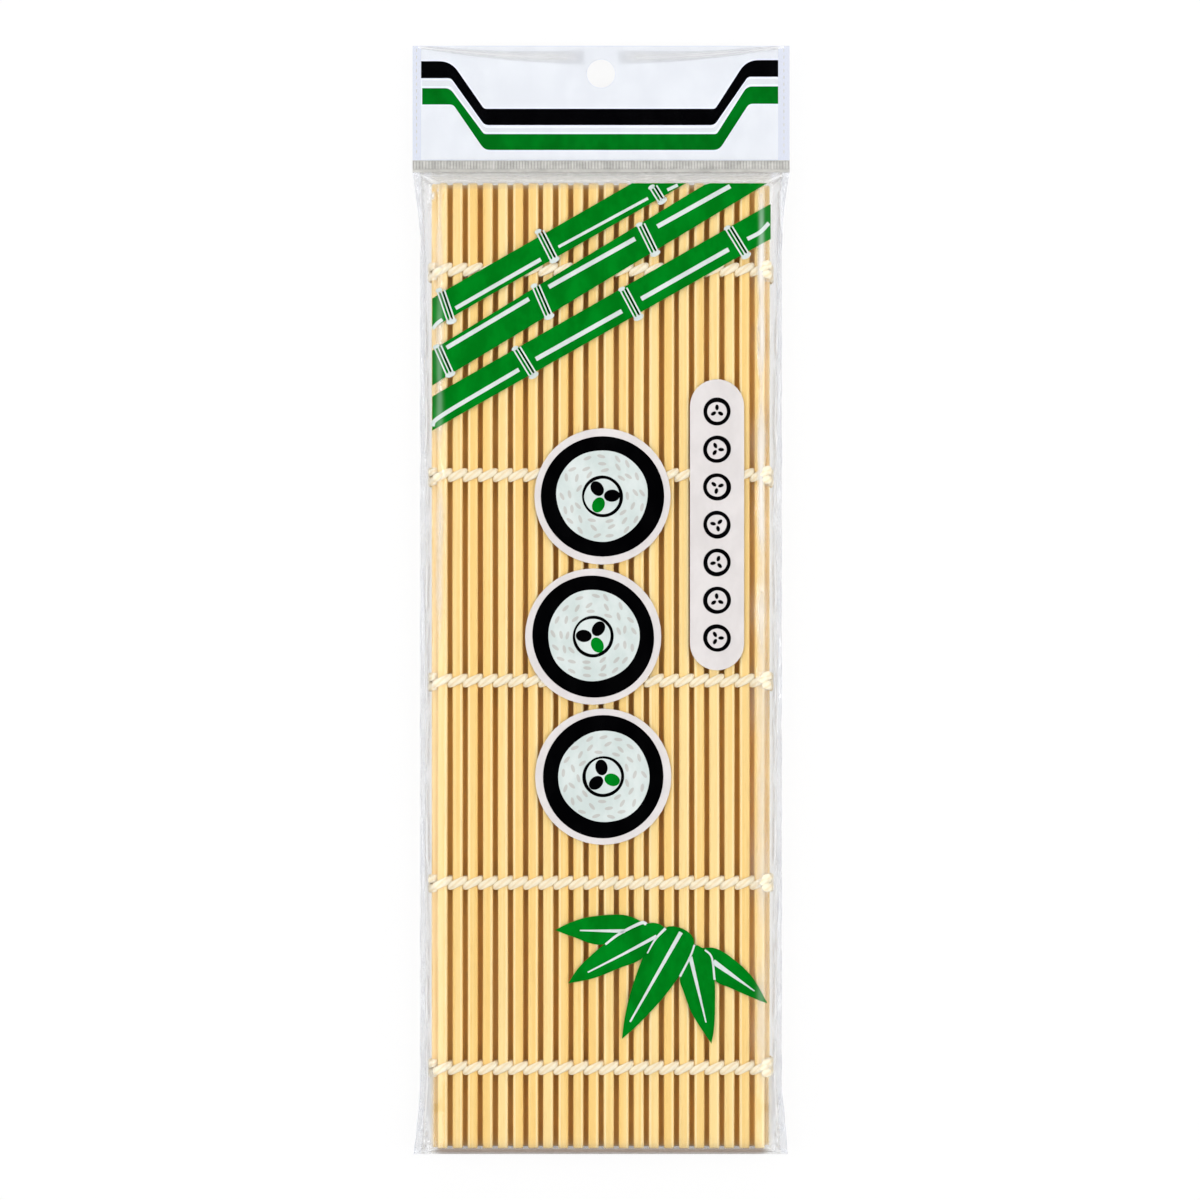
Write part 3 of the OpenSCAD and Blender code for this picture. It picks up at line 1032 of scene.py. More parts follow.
@dataclass
class Pouch:
    """The clear pouch: a front and a back film, welded along a flat lip round the mat.

    A fold line is X and Y of its two ends, its height and its width.
    """

    sizes: MatSizes
    crown_x: float = 42.2
    round_power: float = 2.4
    foot_full: float = -152.9
    foot_wall: float = -154.9
    head_full: float = 115.9
    film: float = 0.05
    sag: float = 0.4
    crown_z: float = 13.04
    back_x: float = 46.4
    wall_half: float = 49.55
    flare: float = 20.0
    fold_lines: tuple[tuple[float, ...], ...] = (
        (-52.6, 120.2, -45.0, 116.2, 0.6, 0.32), (52.6, 120.2, 45.6, 116.4, 0.6, 0.32),
        (-49.6, 110.4, -45.2, 114.6, 0.5, 0.3), (50.4, 117.6, 52.2, 119.8, 0.4, 0.3),
        (-51.6, 116.4, -49.4, 115.3, 0.4, 0.35), (51.4, 116.8, 49.6, 113.0, 0.4, 0.35),
        (-50.5, 111.0, -50.2, 107.0, 0.4, 0.4), (50.2, 113.4, 50.6, 104.0, 0.5, 0.42),
        (-47.0, 118.9, -12.0, 119.3, 0.12, 0.3), (8.0, 118.6, 33.0, 119.2, 0.12, 0.35),
        (-52.2, -155.2, -46.0, -153.2, 0.5, 0.3), (52.2, -155.2, 46.2, -153.0, 0.5, 0.3),
        (-51.2, -148.6, -47.4, -154.6, 0.5, 0.32), (51.2, -148.0, 47.6, -154.6, 0.5, 0.32),
        (-48.4, -152.2, -46.2, -151.6, 0.3, 0.25), (48.6, -151.4, 46.2, -152.2, 0.3, 0.25),
        (-51.2, -141.0, -48.2, -146.6, 0.35, 0.35), (51.0, -138.6, 48.4, -146.2, 0.4, 0.35),
        (-50.2, 70.0, -48.6, 41.0, 0.3, 0.3), (49.9, 62.0, 48.4, 22.0, 0.3, 0.3),
        (44.9, 86.0, 43.7, 73.0, 0.3, 0.4), (43.7, 73.0, 44.5, 60.0, 0.3, 0.35),
        (-50.1, 8.0, -48.8, -30.0, 0.3, 0.3), (50.0, -12.0, 48.6, -52.0, 0.3, 0.3),
        (-50.0, -62.0, -48.5, -98.0, 0.3, 0.3), (50.0, -84.0, 48.6, -116.0, 0.3, 0.3))

    def half_width(self, y: Grid) -> Grid:
        """Half width: the waist, widening over the flare towards the foot and towards the seal.

        Args:
            y: Places along the bag.

        Returns:
            The half width at each place.
        """
        waist, flare = self.sizes.waist_half, self.flare
        foot = (self.sizes.foot_half - waist) * fall(y, self.sizes.y_foot + flare, flare) ** 1.15
        head = (self.sizes.flat_half - waist) * rise(y, self.sizes.y_seal - flare, flare) ** 1.5
        return waist + foot + head

    def wall_x(self, y: Grid) -> Grid:
        """Distance from the middle at which the film's wall meets the flat lip."""
        return self.wall_half + 0.62 * (self.half_width(y) - self.sizes.waist_half)

    @staticmethod
    def arch(t: Grid, power: float) -> Grid:
        """Rounded step from 1 at t = 0 to 0 at t = 1, along a superellipse."""
        return np.power(unit(1 - unit(t) ** power), 1 / power)

    def arches(self, x: Grid, y: Grid, crown: float, power: float, head: float) -> tuple[Grid, Grid, Grid]:
        """Rounded steps from 1 over the mat to 0 at the weld.

        Args:
            x: Places across the bag.
            y: Places along it.
            crown: Where the sides start to round off.
            power: The superellipse's power at the sides.
            head: Its power at the head.

        Returns:
            The steps at the sides, the foot and the head.
        """
        return (self.arch((np.abs(x) - crown) / (self.wall_x(y) - crown), power),
                self.arch((self.foot_full - y) / (self.foot_full - self.foot_wall), 3.0),
                self.arch((y - self.head_full) / (self.sizes.y_seal - self.head_full), head))

    def height(self, x: Grid, y: Grid) -> Grid:
        """Height of the front film, rounded off to the weld at the sides and ends.

        It rests on the cord rows, sags between them and is creased where it rounds off.

        Args:
            x: Places across the bag.
            y: Places along it.

        Returns:
            Z at each place.
        """
        z_weld = self.sizes.z_middle
        sides, foot, head = self.arches(x, y, self.crown_x, self.round_power, 2.0)
        rest = sum(bell(y - row, 9.0) for row in self.sizes.rows)
        unrest = 0.06 * waves(y + 0.35 * x, 7, 90, 21, 4) + 0.04 * waves(x - 0.2 * y, 8, 50, 15, 3)
        crown = self.crown_z - self.sag * (1 - unit(rest)) + unrest
        creases = 0.45 * waves(x * 0.9 + y * 1.3 * np.sign(x), 21, 16, 5, 4)
        creases = creases * 4 * head * (1 - head) + 0.3 * waves(x, 23, 14, 4, 3) * 4 * foot * (1 - foot)
        pinch = 0.35 * waves(y, 31, 34, 8, 5) * 4 * sides * (1 - sides)
        body = (crown - z_weld) * sides * foot * head + creases + pinch * foot * head
        return z_weld + self.film + body + self.folds(x, y)[0]

    def depth(self, x: Grid, y: Grid) -> Grid:
        """Height of the back film: flat on the table, rounded up to the weld all round.

        Args:
            x: Places across the bag.
            y: Places along it.

        Returns:
            Z at each place.
        """
        sides, foot, head = self.arches(x, y, self.back_x, 4.0, 2.4)
        pinch = 0.3 * waves(y, 37, 40, 9, 5) * 4 * sides * (1 - sides)
        flat = 0.1 + 0.05 * waves(y + x, 39, 60, 20, 3)
        weld = self.sizes.z_middle - self.film
        return weld - (weld - flat) * sides * foot * head + pinch

    def folds(self, x: Grid, y: Grid) -> tuple[Grid, Grid]:
        """Sharp folds where the film is gathered: a narrow ridge along each fold line.

        A ridge is a bell over the distance to its line, lower at the line's ends.

        Args:
            x: Places across the bag.
            y: Places along it.

        Returns:
            The ridges' height in millimetres, and how much they glint, from 0 to 1.
        """
        total, glint = np.zeros_like(x + y), np.zeros_like(x + y)
        for x0, y0, x1, y1, tall, wide in self.fold_lines:
            span = np.array([x1 - x0, y1 - y0])
            held = unit(((x - x0) * span[0] + (y - y0) * span[1]) / (span @ span))
            gap = np.hypot(x - x0 - held * span[0], y - y0 - held * span[1])
            ridge = bell(gap, wide) * (0.35 + 0.65 * np.sin(math.pi * held))
            total = total + tall * ridge
            glint = np.maximum(glint, ridge * min(1.0, tall * 2))
        return total, glint

    @staticmethod
    def sheen(x: Grid, y: Grid) -> Grid:
        """Share of light, from 0 to 1, that the round shoulder of the film throws back.

        On each side a band runs along Y. Its middle and width sway with slow waves, and its
        strength is a bell across it times a slow wave along it.

        Args:
            x: Places across the bag.
            y: Places along it.

        Returns:
            The share at each place.
        """
        total = np.zeros_like(x + y)
        for side, seed, middle, low, high in ((-1, 81, 45.1, -16, 116.5), (1, 91, 44.75, -140, 115.5)):
            centre = side * (middle + 0.18 * waves(y, seed, 80, 30, 3))
            upper = rise(y, -30, 70) if side > 0 else 1.0
            wide = 0.8 * (1 + 0.45 * waves(y, seed + 1, 60, 24, 3)) * (1.7 - 0.7 * upper)
            strong = np.clip(0.8 + 0.6 * waves(y, seed + 2, 75, 26, 4), 0.25, 1) * (0.4 + 0.6 * upper)
            ends = rise(y, low, 18) * fall(y, high, 1.5) * (0.75 + 0.25 * side)
            total = total + np.exp(-np.abs((x - centre) / wide) ** 2.4) * strong * ends
        return total

    def clouding(self, x: Grid, y: Grid, front: bool) -> dict[str, Grid]:
        """What the film's finish reads from the mesh, as numbers from 0 to 1 by name.

        Args:
            x: Places across the bag.
            y: Places along it.
            front: Whether this is the front film. The back film is clearer, and its painted shadow at
                the foot starts farther up, under the slats.

        Returns:
            The numbers at each place.
        """
        far = np.abs(x)
        wall = self.wall_x(y)
        head = rise(y, 115.6, 1.2) * fall(y, 120.6, 0.5)
        # At the foot the film gets painted shadow of the mat's end, down to a dark line along the seam.
        start = -153.0 if front else -151.4
        foot = fall(y, start, 0.3) * (1 - 0.6 * fall(y, -154.35, 0.25))
        seam_shadow = fall(y, -154.8, 0.12) * (1 - 0.7 * fall(y, -155.35, 0.2))
        foot_shade_fringe = bell(y + 152.5, 0.8)
        inside = fall(far, 47.6, 3.0)
        side = rise(far, 47.4, 0.8) * fall(far, wall - 0.4, 0.8)
        lip = rise(far, wall - 0.4, 0.5)
        rim = rise(far, self.half_width(y) - 0.32, 0.25)
        corner = rise(far, 46.5, 2.0)
        oval = np.hypot((far - 46.0) / 3.3, (y + 142.5) / 12.5)
        pocket = fall(oval, 1.0, 0.08) * rise(far, 46.6, 0.4)
        bands = 0.5 + 0.5 * waves(y + 2.0 * far, 57, 60, 9, 5)
        haze = np.maximum.reduce([
            0.5 * head * (1 - 0.55 * corner), 0.92 * foot * (0.12 + 0.88 * inside), 0.97 * seam_shadow * inside,
            0.1 * foot_shade_fringe * inside, 0.12 * side, (0.06 + 0.2 * bands) * lip, 0.42 * rim, 0.4 * pocket])
        # A painted highlight line along the lip; the glint also takes the folds and the shoulders' painted
        # sheen.
        centre = wall - 0.7 + 1.1 * rise(y, 50, 50) + 0.25 * waves(y, 58, 50, 14, 4)
        line = 0.95 * bell(far - centre, 0.3) * unit(bands * 1.8 - 0.3)
        glint = np.maximum.reduce([self.folds(x, y)[1], line, 0.78 * self.sheen(x, y)])
        # Brown at the foot and the seam: painted shadow and reflection of the mat.
        mat_shadow_reflection = unit(0.72 * foot + 0.9 * seam_shadow + 0.1 * foot_shade_fringe) * inside
        return {"haze": haze * (1.0 if front else 0.5 + 0.5 * foot), "mat_shadow_reflection": mat_shadow_reflection,
                "lip": np.maximum(lip, side * 0.6), "glint": glint * (1.0 if front else 0.5),
                "ends": np.maximum(head, 0.2 * foot)}

    def columns(self, y: Grid) -> Grid:
        """X of the grid's columns in each row: even on the crown, close on the shoulders.

        Args:
            y: Places of the rows along the bag.

        Returns:
            X, shaped (rows, columns).
        """
        inner = np.concatenate([np.linspace(0, 43.2, 16), np.arange(43.42, 48.75, 0.22)])
        wall, edge = self.wall_x(y)[:, None], self.half_width(y)[:, None]
        steep = 48.8 + (wall - 48.8) * np.sin(np.linspace(0.1, 1, 8) * math.pi / 2)
        lip = wall + (edge - wall) * np.linspace(0.15, 1, 6)
        right = np.concatenate([np.broadcast_to(inner, (len(y), len(inner))), steep, lip], axis=1)
        return np.concatenate([-right[:, :0:-1], right], axis=1)

    def stations(self) -> Grid:
        """Y of the grid's rows: close at the foot and at the slope to the seal.

        Returns:
            Y of each row.
        """
        foot, head = (start + (end - start) * np.sin(np.linspace(0, 1, count) * math.pi / 2)
                      for start, end, count in ((self.foot_full, self.foot_wall, 12),
                                                (self.head_full, self.sizes.y_seal, 16)))
        return np.concatenate([self.sizes.y_foot + np.array([0.0, 0.2, 0.4, 0.6, 0.8]), foot[:0:-1],
                               np.linspace(self.foot_full, self.head_full, 180), head[1:]])

    def sheet(self, front: bool) -> Grid:
        """Grid of one film; the lip's free edge ripples a little sideways.

        Args:
            front: Whether this is the front film.

        Returns:
            The grid, shaped (rows, columns, 3).
        """
        y = self.stations()
        x = self.columns(y)
        y = np.broadcast_to(y[:, None], x.shape)
        z = self.height(x, y) if front else self.depth(x, y)
        lip = rise(np.abs(x), 49.3, 1.5)
        z = z + 0.22 * waves(y, 53, 46, 11, 4) * lip * fall(y, 120, 6)
        return np.stack([x + 0.16 * waves(y, 51, 30, 7, 5) * lip, y, z], -1)

    def build(self, material: bpy.types.Material) -> None:
        """Build both films in place of their nodes.

        Args:
            material: The clear film.
        """
        for word, front in (("front", True), ("back", False)):
            sheet = self.sheet(front)
            marks = {key: doubled(value, value)
                     for key, value in self.clouding(sheet[..., 0], sheet[..., 1], front).items()}
            skin = Skin().add(thick_rings(sheet, self.film if front else -self.film), **marks)
            piece = skin.build(f"pouch_{word}_film", material, sharp=80)
            settle(piece, "pouch", "clear_film", f"{word}_film", soft=True)
        log.info("pouch: front and back film, %.1f mm wide at the waist", 2 * self.sizes.waist_half)


@dataclass
class Artwork:
    """The print on the pouch: bamboo culms, leaves, roll slices and a pale tab, all on the film.

    Each layer is a piece's name, its ink and how far each group of its grids lies above the film.
    """

    pouch: Pouch
    thickness: float = 0.02
    left: float = -47.2
    roof: float = 116.3
    slice_r: float = 17.0
    round_r: float = 19.0
    layers: tuple[tuple[str, Ink, dict[str, float]], ...] = (
        ("print_veil", Ink.VEIL, {"veil": 0.04}), ("print_grains", Ink.GRAIN, {"grain": 0.11}),
        ("print_green", Ink.GREEN, {"green": 0.05, "green_core": 0.12}),
        ("print_white", Ink.WHITE, {"white": 0.08}),
        ("print_black", Ink.BLACK, {"black": 0.11, "black_core": 0.12}))

    def culm(self, upper_y: float, lower_y: float, upper_slope: float, lower_slope: float,
             x_end: float) -> Grid:
        """Grid of one culm: a slanting band between two lines, cut by the top of the print.

        Args:
            upper_y: Height of the upper edge at the print's left side.
            lower_y: Height of the lower edge there.
            upper_slope: Slope of the upper edge.
            lower_slope: Slope of the lower edge.
            x_end: Where the culm ends at the right.

        Returns:
            The grid, shaped (columns, rows, 2).
        """
        columns = self.pouch.columns(np.array([0.0]))[0]
        x = np.unique(np.concatenate([[self.left, x_end], columns[(columns > self.left) & (columns < x_end)],
                                      np.linspace(self.left, x_end, 60)]))
        upper, lower = (np.stack([x, np.minimum(y + slope * (x - self.left), self.roof)], -1)
                        for y, slope in ((upper_y, upper_slope), (lower_y, lower_slope)))
        return band(upper, lower, 8)

    @staticmethod
    def culm_node(top: Point, foot: Point) -> Groups:
        """Grids of one node: three pale and two dark lines across the culm, with round pale ends.

        Args:
            top: Where the middle line starts, above the culm.
            foot: Where it ends, below the culm.

        Returns:
            Grids by ink.
        """
        start, end = np.array(top), np.array(foot)
        down = (end - start) / np.linalg.norm(end - start)
        side = np.array([-down[1], down[0]])

        def line(shift: float, width: float, high: float, low: float) -> Grid:
            """Straight line beside the middle one, cut short at both ends."""
            return stroke([start + side * shift + down * high, end + side * shift - down * low],
                          width, width, 12)

        tilt = math.degrees(math.atan2(side[1], side[0]))
        pale = [line(-1.05, 0.42, 0.5, 0.5), line(-0.05, 0.34, 0.2, 0.4), line(0.95, 0.42, 0.7, 0.5),
                disc(end - down * 0.4, (1.5, 0.78), tilt),
                disc(start + down * 0.35 - side * 0.5, (1.0, 0.55), tilt)]
        return {"white": pale, "black": [line(0.45, 0.36, 1.0, 0.9)],
                "green_core": [line(-0.55, 0.3, 1.1, 0.9)]}

    def culms(self, prints: Groups) -> None:
        """Add the three slanting bamboo culms, their nodes and the pale line along each joint.

        Args:
            prints: Grids by ink, to which the drawing is added.
        """
        prints["green"] += [
            self.culm(84.2, 75.8, 0.575, 0.571, 23.7), self.culm(69.7, 59.9, 0.607, 0.603, 46.3),
            self.culm(56.8, 47.3, 0.569, 0.566, 47.4)]
        for top, foot in (
                ((-44.9, 87.0), (-41.6, 77.4)), ((-17.3, 103.4), (-12.8, 94.5)),
                ((14.3, 115.8), (17.3, 111.0)), ((-45.8, 71.3), (-41.9, 62.6)),
                ((-18.4, 88.2), (-14.3, 78.7)), ((10.9, 105.3), (15.3, 96.3)),
                ((-23.8, 70.8), (-18.6, 62.3)), ((6.0, 87.3), (10.7, 78.5)),
                ((35.4, 104.4), (40.7, 95.7))):
            for ink, grids in self.culm_node(top, foot).items():
                prints[ink] += grids
        for width, line in (
                (1.0, [(-47.0, 75.7), (-45.9, 77.1), (-44.3, 78.3)]), (1.1, [(-40.6, 81.4), (-16.8, 95.0)]),
                (0.8, [(-11.9, 98.5), (13.1, 112.1)]), (0.9, [(18.5, 114.4), (21.4, 115.8)]),
                (1.2, [(-43.1, 70.4), (-20.1, 84.0)]), (1.25, [(-14.6, 87.3), (9.5, 100.8)]),
                (1.25, [(15.7, 104.2), (36.0, 115.5)]), (1.15, [(-47.0, 48.5), (-44.6, 51.4), (-22.9, 64.3)]),
                (1.25, [(-18.2, 67.2), (5.8, 80.6)]), (1.25, [(11.2, 84.0), (35.6, 97.8)]),
                (1.1, [(40.8, 100.7), (44.3, 102.6), (46.9, 105.3)])):
            prints["white"].append(stroke(line, width, width, 40))

    @staticmethod
    def leaves(prints: Groups) -> None:
        """Add the spray of five bamboo leaves: two edges of each, then the pale ribs and seams.

        Args:
            prints: Grids by ink, to which the drawing is added.
        """
        for one, other in (
                ([(-12.9, -92.1), (-8.6, -90.0), (-3.7, -88.5), (3.0, -87.8), (7.9, -88.2), (12.6, -90.4)],
                 [(-12.9, -92.1), (-8.1, -93.9), (0.0, -96.2), (7.9, -92.6), (12.6, -90.4)]),
                ([(-9.2, -107.0), (-5.9, -102.2), (0.8, -96.2), (7.9, -92.0), (13.2, -90.2),
                  (15.9, -90.3), (18.0, -91.5)],
                 [(-9.2, -107.0), (-2.3, -105.6), (5.2, -102.7), (11.9, -99.6), (18.0, -91.5)]),
                ([(5.8, -122.5), (6.6, -116.5), (8.3, -109.3), (11.4, -100.4), (14.6, -95.0),
                  (18.0, -91.5), (20.2, -91.0)],
                 [(5.8, -122.5), (10.6, -118.2), (16.8, -111.6), (21.7, -105.1), (24.8, -99.6),
                  (26.0, -96.0), (25.3, -93.6), (23.0, -91.8), (20.2, -91.0)]),
                ([(30.8, -123.8), (25.7, -116.0), (23.0, -109.3), (22.0, -105.1), (24.6, -99.4),
                  (26.2, -96.1)],
                 [(30.8, -123.8), (31.5, -119.6), (31.8, -113.8), (31.7, -106.0), (30.6, -99.6),
                  (28.3, -97.1), (26.2, -96.1)]),
                ([(46.5, -112.7), (42.1, -105.1), (36.4, -99.8), (31.9, -97.2), (28.3, -97.1)],
                 [(46.5, -112.7), (42.1, -110.9), (36.4, -108.4), (31.7, -106.0), (30.8, -100.6),
                  (28.3, -97.1)])):
            prints["green"].append(band(resampled(one, 60), resampled(other, 60), 8))
        for first, last, line in (
                (0.35, 1.05, [(-5.9, -92.2), (6.6, -92.4)]),
                (0.6, 0.95, [(1.2, -96.1), (5.2, -93.1), (11.2, -90.1), (12.6, -90.5)]),
                (0.4, 0.95, [(-3.7, -103.9), (6.0, -98.9), (15.5, -93.8)]),
                (0.35, 0.8, [(12.9, -98.6), (15.2, -94.6), (18.0, -91.6)]),
                (0.5, 1.15, [(8.1, -117.7), (22.3, -92.7)]),
                (0.6, 0.5, [(22.0, -105.1), (24.8, -99.7), (26.1, -96.2)]),
                (1.15, 0.35, [(24.9, -99.6), (29.3, -117.9)]),
                (0.5, 0.6, [(29.0, -97.6), (30.9, -99.8), (31.7, -106.0)]),
                (1.5, 0.3, [(31.3, -100.9), (42.8, -109.1)])):
            prints["white"].append(stroke(line, first, last, 30))

    @staticmethod
    def roll(centre: Point, radius: float, seed: int) -> Groups:
        """Grids of one roll slice: a dark wrapper, pale rice with grains, and its filling.

        Args:
            centre: Middle of the slice.
            radius: Outer radius of the wrapper.
            seed: Number that fixes its unevenness.

        Returns:
            Grids by ink.
        """
        rng = np.random.default_rng(seed)
        grains = []
        for reach, count in ((0.66, 17), (0.53, 13), (0.42, 9)):
            for degrees in np.linspace(0, 360, count + 1)[:-1] + rng.uniform(0, 30):
                tilt = degrees + 90 + rng.uniform(-35, 35)
                out = radius * (reach + rng.uniform(-0.015, 0.015))
                place = away(centre, out, degrees + rng.uniform(-4, 4))
                grains.append(disc(place, (radius * 0.068, radius * 0.028), tilt))
        start = rng.uniform(0, 120)
        fillings = [disc(away(centre, radius * 0.155, tilt), (radius * 0.13, radius * 0.1), tilt)
                    for tilt in (start, start + 120, start + 240)]
        return {"white": [disc(centre, (radius * 0.8, radius * 0.8))],
                "black": [ring(centre, radius * 0.75, radius, seed, 0.035),
                          ring(centre, radius * 0.29, radius * 0.34, seed + 5, 0.04)],
                "grain": grains, "black_core": fillings[:2], "green_core": fillings[2:]}

    def slices(self, prints: Groups) -> None:
        """Add three plain roll slices on pale rounds, set a little to the left and right.

        Args:
            prints: Grids by ink, to which the drawing is added.
        """
        for k, centre in enumerate(((0.4, 28.9), (-2.2, -10.2), (0.6, -49.3))):
            prints["veil"].append(disc(centre, (self.round_r, self.round_r)))
            for ink, grids in self.roll(centre, self.slice_r, 12 + k).items():
                prints[ink] += grids

    @staticmethod
    def tab(prints: Groups) -> None:
        """Add the pale tab with round ends at the right and its column of small rings.

        Args:
            prints: Grids by ink, to which the drawing is added.
        """
        x, high, low, half = 32.35, 61.6, -19.6, 7.55
        t = np.linspace(0, math.pi / 2, 12)
        up = np.concatenate([low + half - half * np.cos(t), np.linspace(low + half, high - half, 60)[1:-1],
                             high - half + half * np.sin(t)])
        wide = np.concatenate([half * np.sin(t), np.full(58, half), half * np.cos(t)])
        prints["veil"].append(band(np.stack([x - wide, up], -1), np.stack([x + wide, up], -1), 12))
        for k, y in enumerate(np.linspace(52.6, -10.6, 7)):
            prints["black"].append(ring((x, y), 2.75, 3.85, 3 + k, 0.05))
            prints["black"] += [disc(away((x, y), 1.15, tilt), (0.8, 0.5), tilt)
                                for tilt in (90 + 25 * k, 210 + 25 * k, 330 + 25 * k)]

    def build(self, inks: Finishes) -> None:
        """Lay every print on the film, one piece for each ink, the later inks a hair higher.

        Args:
            inks: The finish of each ink.
        """
        prints: Groups = defaultdict(list)
        for draw in (self.culms, self.leaves, self.slices, self.tab):
            draw(prints)
        for name, ink, lifts in self.layers:
            skin = Skin()
            for group, lift in lifts.items():
                for grid in prints[group]:
                    top = self.pouch.height(grid[..., 0], grid[..., 1]) + lift
                    rings = plate(grid, top, self.thickness)
                    sheen = self.pouch.sheen(rings[..., 0], rings[..., 1])
                    skin.add(rings, self.closes(grid), sheen=sheen)
            settle(skin.build(name, inks[ink], sharp=60), "pouch", "header_print", soft=True)
        log.info("print on the film: %d shapes", sum(len(v) for v in prints.values()))

    @staticmethod
    def closes(grid: Grid) -> bool:
        """Whether the grid's last line lies one step from its first, as round a ring."""
        step = np.linalg.norm(grid[1] - grid[0], axis=-1).max()
        return len(grid) == 72 and bool(np.linalg.norm(grid[-1] - grid[0], axis=-1).max() < 3 * step)


@dataclass
class Header:
    """The header: clear film over a white sheet with striped bands, and the ribbed seal.

    Each band is its name, its ink, its height and its two edges. An edge is X of its left end
    and of its four corners, Y of its left, middle and right stretch, and the corners' reaches.
    """

    sizes: MatSizes
    sheet_left: float = -50.6
    sheet_right: float = 49.8
    sheet_up: float = 0.09
    sheet_thick: float = 0.18
    film_up: float = 0.2
    film_down: float = -0.15
    film_thick: float = 0.04
    glare_up: float = 0.22
    ink_thick: float = 0.012
    seal_half: float = 0.14
    rib_height: float = 0.17
    rib_pitch: float = 0.85
    dash_half: Point = (0.11, 0.42)
    dash_up: float = 0.08
    margins: Point = (-51.9, 51.4)
    bands: tuple[tuple[str, Ink, float, Edge, Edge], ...] = (
        ("black", Ink.BLACK, 0.135,
         ((-50.6, -42.2, -32.9, 32.1, 40.9), (151.5, 138.1, 151.8), (3.4, 0.6, 0.6, 3.4)),
         ((-50.6, -42.2, -32.8, 31.9, 41.3), (146.7, 133.5, 147.1), (0.8, 1.2, 1.2, 0.8))),
        ("green", Ink.GREEN, 0.135,
         ((-50.3, -42.5, -32.9, 32.5, 41.0), (143.9, 131.0, 144.4), (1.4, 0.6, 0.6, 1.6)),
         ((-50.3, -41.6, -32.8, 33.2, 41.6), (139.3, 126.5, 139.5), (1.0, 1.6, 1.6, 1.0))),
        ("grey", Ink.STRIP, 0.12,
         ((-50.3, -42.1, -32.6, 31.8, 41.2), (146.1, 132.7, 146.5), (1.0, 0.8, 0.8, 1.0)),
         ((-50.3, -42.3, -32.9, 32.2, 41.0), (144.5, 131.6, 145.0), (1.0, 0.8, 0.8, 1.0))),
        ("white", Ink.LINE, 0.105,
         ((-50.6, -42.1, -32.7, 31.9, 40.7), (151.9, 138.6, 152.2), (3.4, 0.6, 0.6, 3.4)),
         ((-50.6, -41.4, -32.6, 33.0, 41.8), (138.9, 126.1, 139.1), (1.0, 1.6, 1.6, 1.0))))

    @staticmethod
    def lift(x: Grid, y: Grid) -> Grid:
        """Waves of the header: shallow folds that fan out under the top edge and by the hole."""
        top = rise(y, 136, 20)
        return 0.10 * waves(x * 0.5 + y, 61, 70, 18, 4) + 0.12 * top * waves(x, 63, 60, 17, 4)

    def pierced(self, x_low: float, x_high: float, y_low: float, y_high: float, radius: float) -> Grid:
        """Grid of a rectangle with a round hole: lines from the hole's rim to the outline.

        Each line leaves the hole's middle at an angle and ends where it meets the outline;
        the corners' own angles are among them, so that the corners stay sharp.

        Args:
            x_low: Left edge.
            x_high: Right edge.
            y_low: Lower edge.
            y_high: Upper edge.
            radius: The hole's radius.

        Returns:
            The grid, shaped (angles, radii, 2).
        """
        middle = self.sizes.hole_y
        corners = [math.atan2(y - middle, x) for x in (x_low, x_high) for y in (y_low, y_high)]
        t = np.unique(np.concatenate([np.linspace(-math.pi, math.pi, 181)[:-1], corners]))
        c, s = np.cos(t), np.sin(t)
        reach_x, reach_y = (np.abs(np.where(way > 0, high, low) / np.where(np.abs(way) < 1e-9, 1e-9, way))
                            for way, low, high in ((c, x_low, x_high), (s, y_low - middle, y_high - middle)))
        reach = np.minimum(reach_x, reach_y)[:, None]
        r = radius + (reach - radius) * np.linspace(0, 1, 26)[None, :] ** 1.25
        return np.stack([r * c[:, None], middle + r * s[:, None]], -1)

    def layer(self, flat: Grid, base: float, thickness: float) -> Grid:
        """Closed rings of a thin plate on the header's waves, its top that far from the middle."""
        return plate(flat, self.sizes.z_middle + base + self.lift(flat[..., 0], flat[..., 1]), thickness)

    def edge(self, xs: tuple[float, ...], ys: tuple[float, ...], reaches: tuple[float, ...]) -> Grid:
        """Points along one edge of a band: level, down a slant, level, up a slant and level."""
        return filleted(np.stack([(*xs, self.sheet_right), np.repeat(ys, 2)], -1), reaches, 240)

    def seal(self) -> tuple[Grid, Grid]:
        """Rings of the ribbed seal, with rounded ribs along Y, and their tone of painted light and shade.

        A rib's height is the power 0.7 of a sine over X, times how far the ribs have faded in.

        Returns:
            The rings, and the tone at each of their points.
        """
        half = self.sizes.flat_half
        x = np.linspace(-half, half, 760)
        rib = np.abs(np.sin(math.pi * x / self.rib_pitch + 0.6 * waves(x, 71, 30, 8, 3))) ** 0.7
        rib = rib * (0.75 + 0.25 * waves(x, 73, 7, 2, 3))
        y = np.array([0.0, 0.5, 0.75, 0.95, 1.15, 2.2, 2.95, 3.2, 3.4]) + self.sizes.y_seal
        fade = np.array([0.0, 0.0, 0.15, 0.6, 1.0, 1.0, 1.0, 0.6, 0.0])[:, None]
        tall = fade * rib
        flat = np.stack(np.broadcast_arrays(x, y[:, None]), -1)
        wave = self.lift(flat[..., 0], flat[..., 1]) * 0.5
        thick = self.seal_half + self.rib_height * tall
        top, under = (np.concatenate([flat, (self.sizes.z_middle + way * thick + wave)[..., None]], -1)
                      for way in (1, -1))
        # The tone paints light on the rib tops and shade between them, and stays light where the ribs fade
        # out.
        tone = np.maximum(tall, 0.85 * (1 - fade))
        return doubled(top, under), doubled(tone, tone)

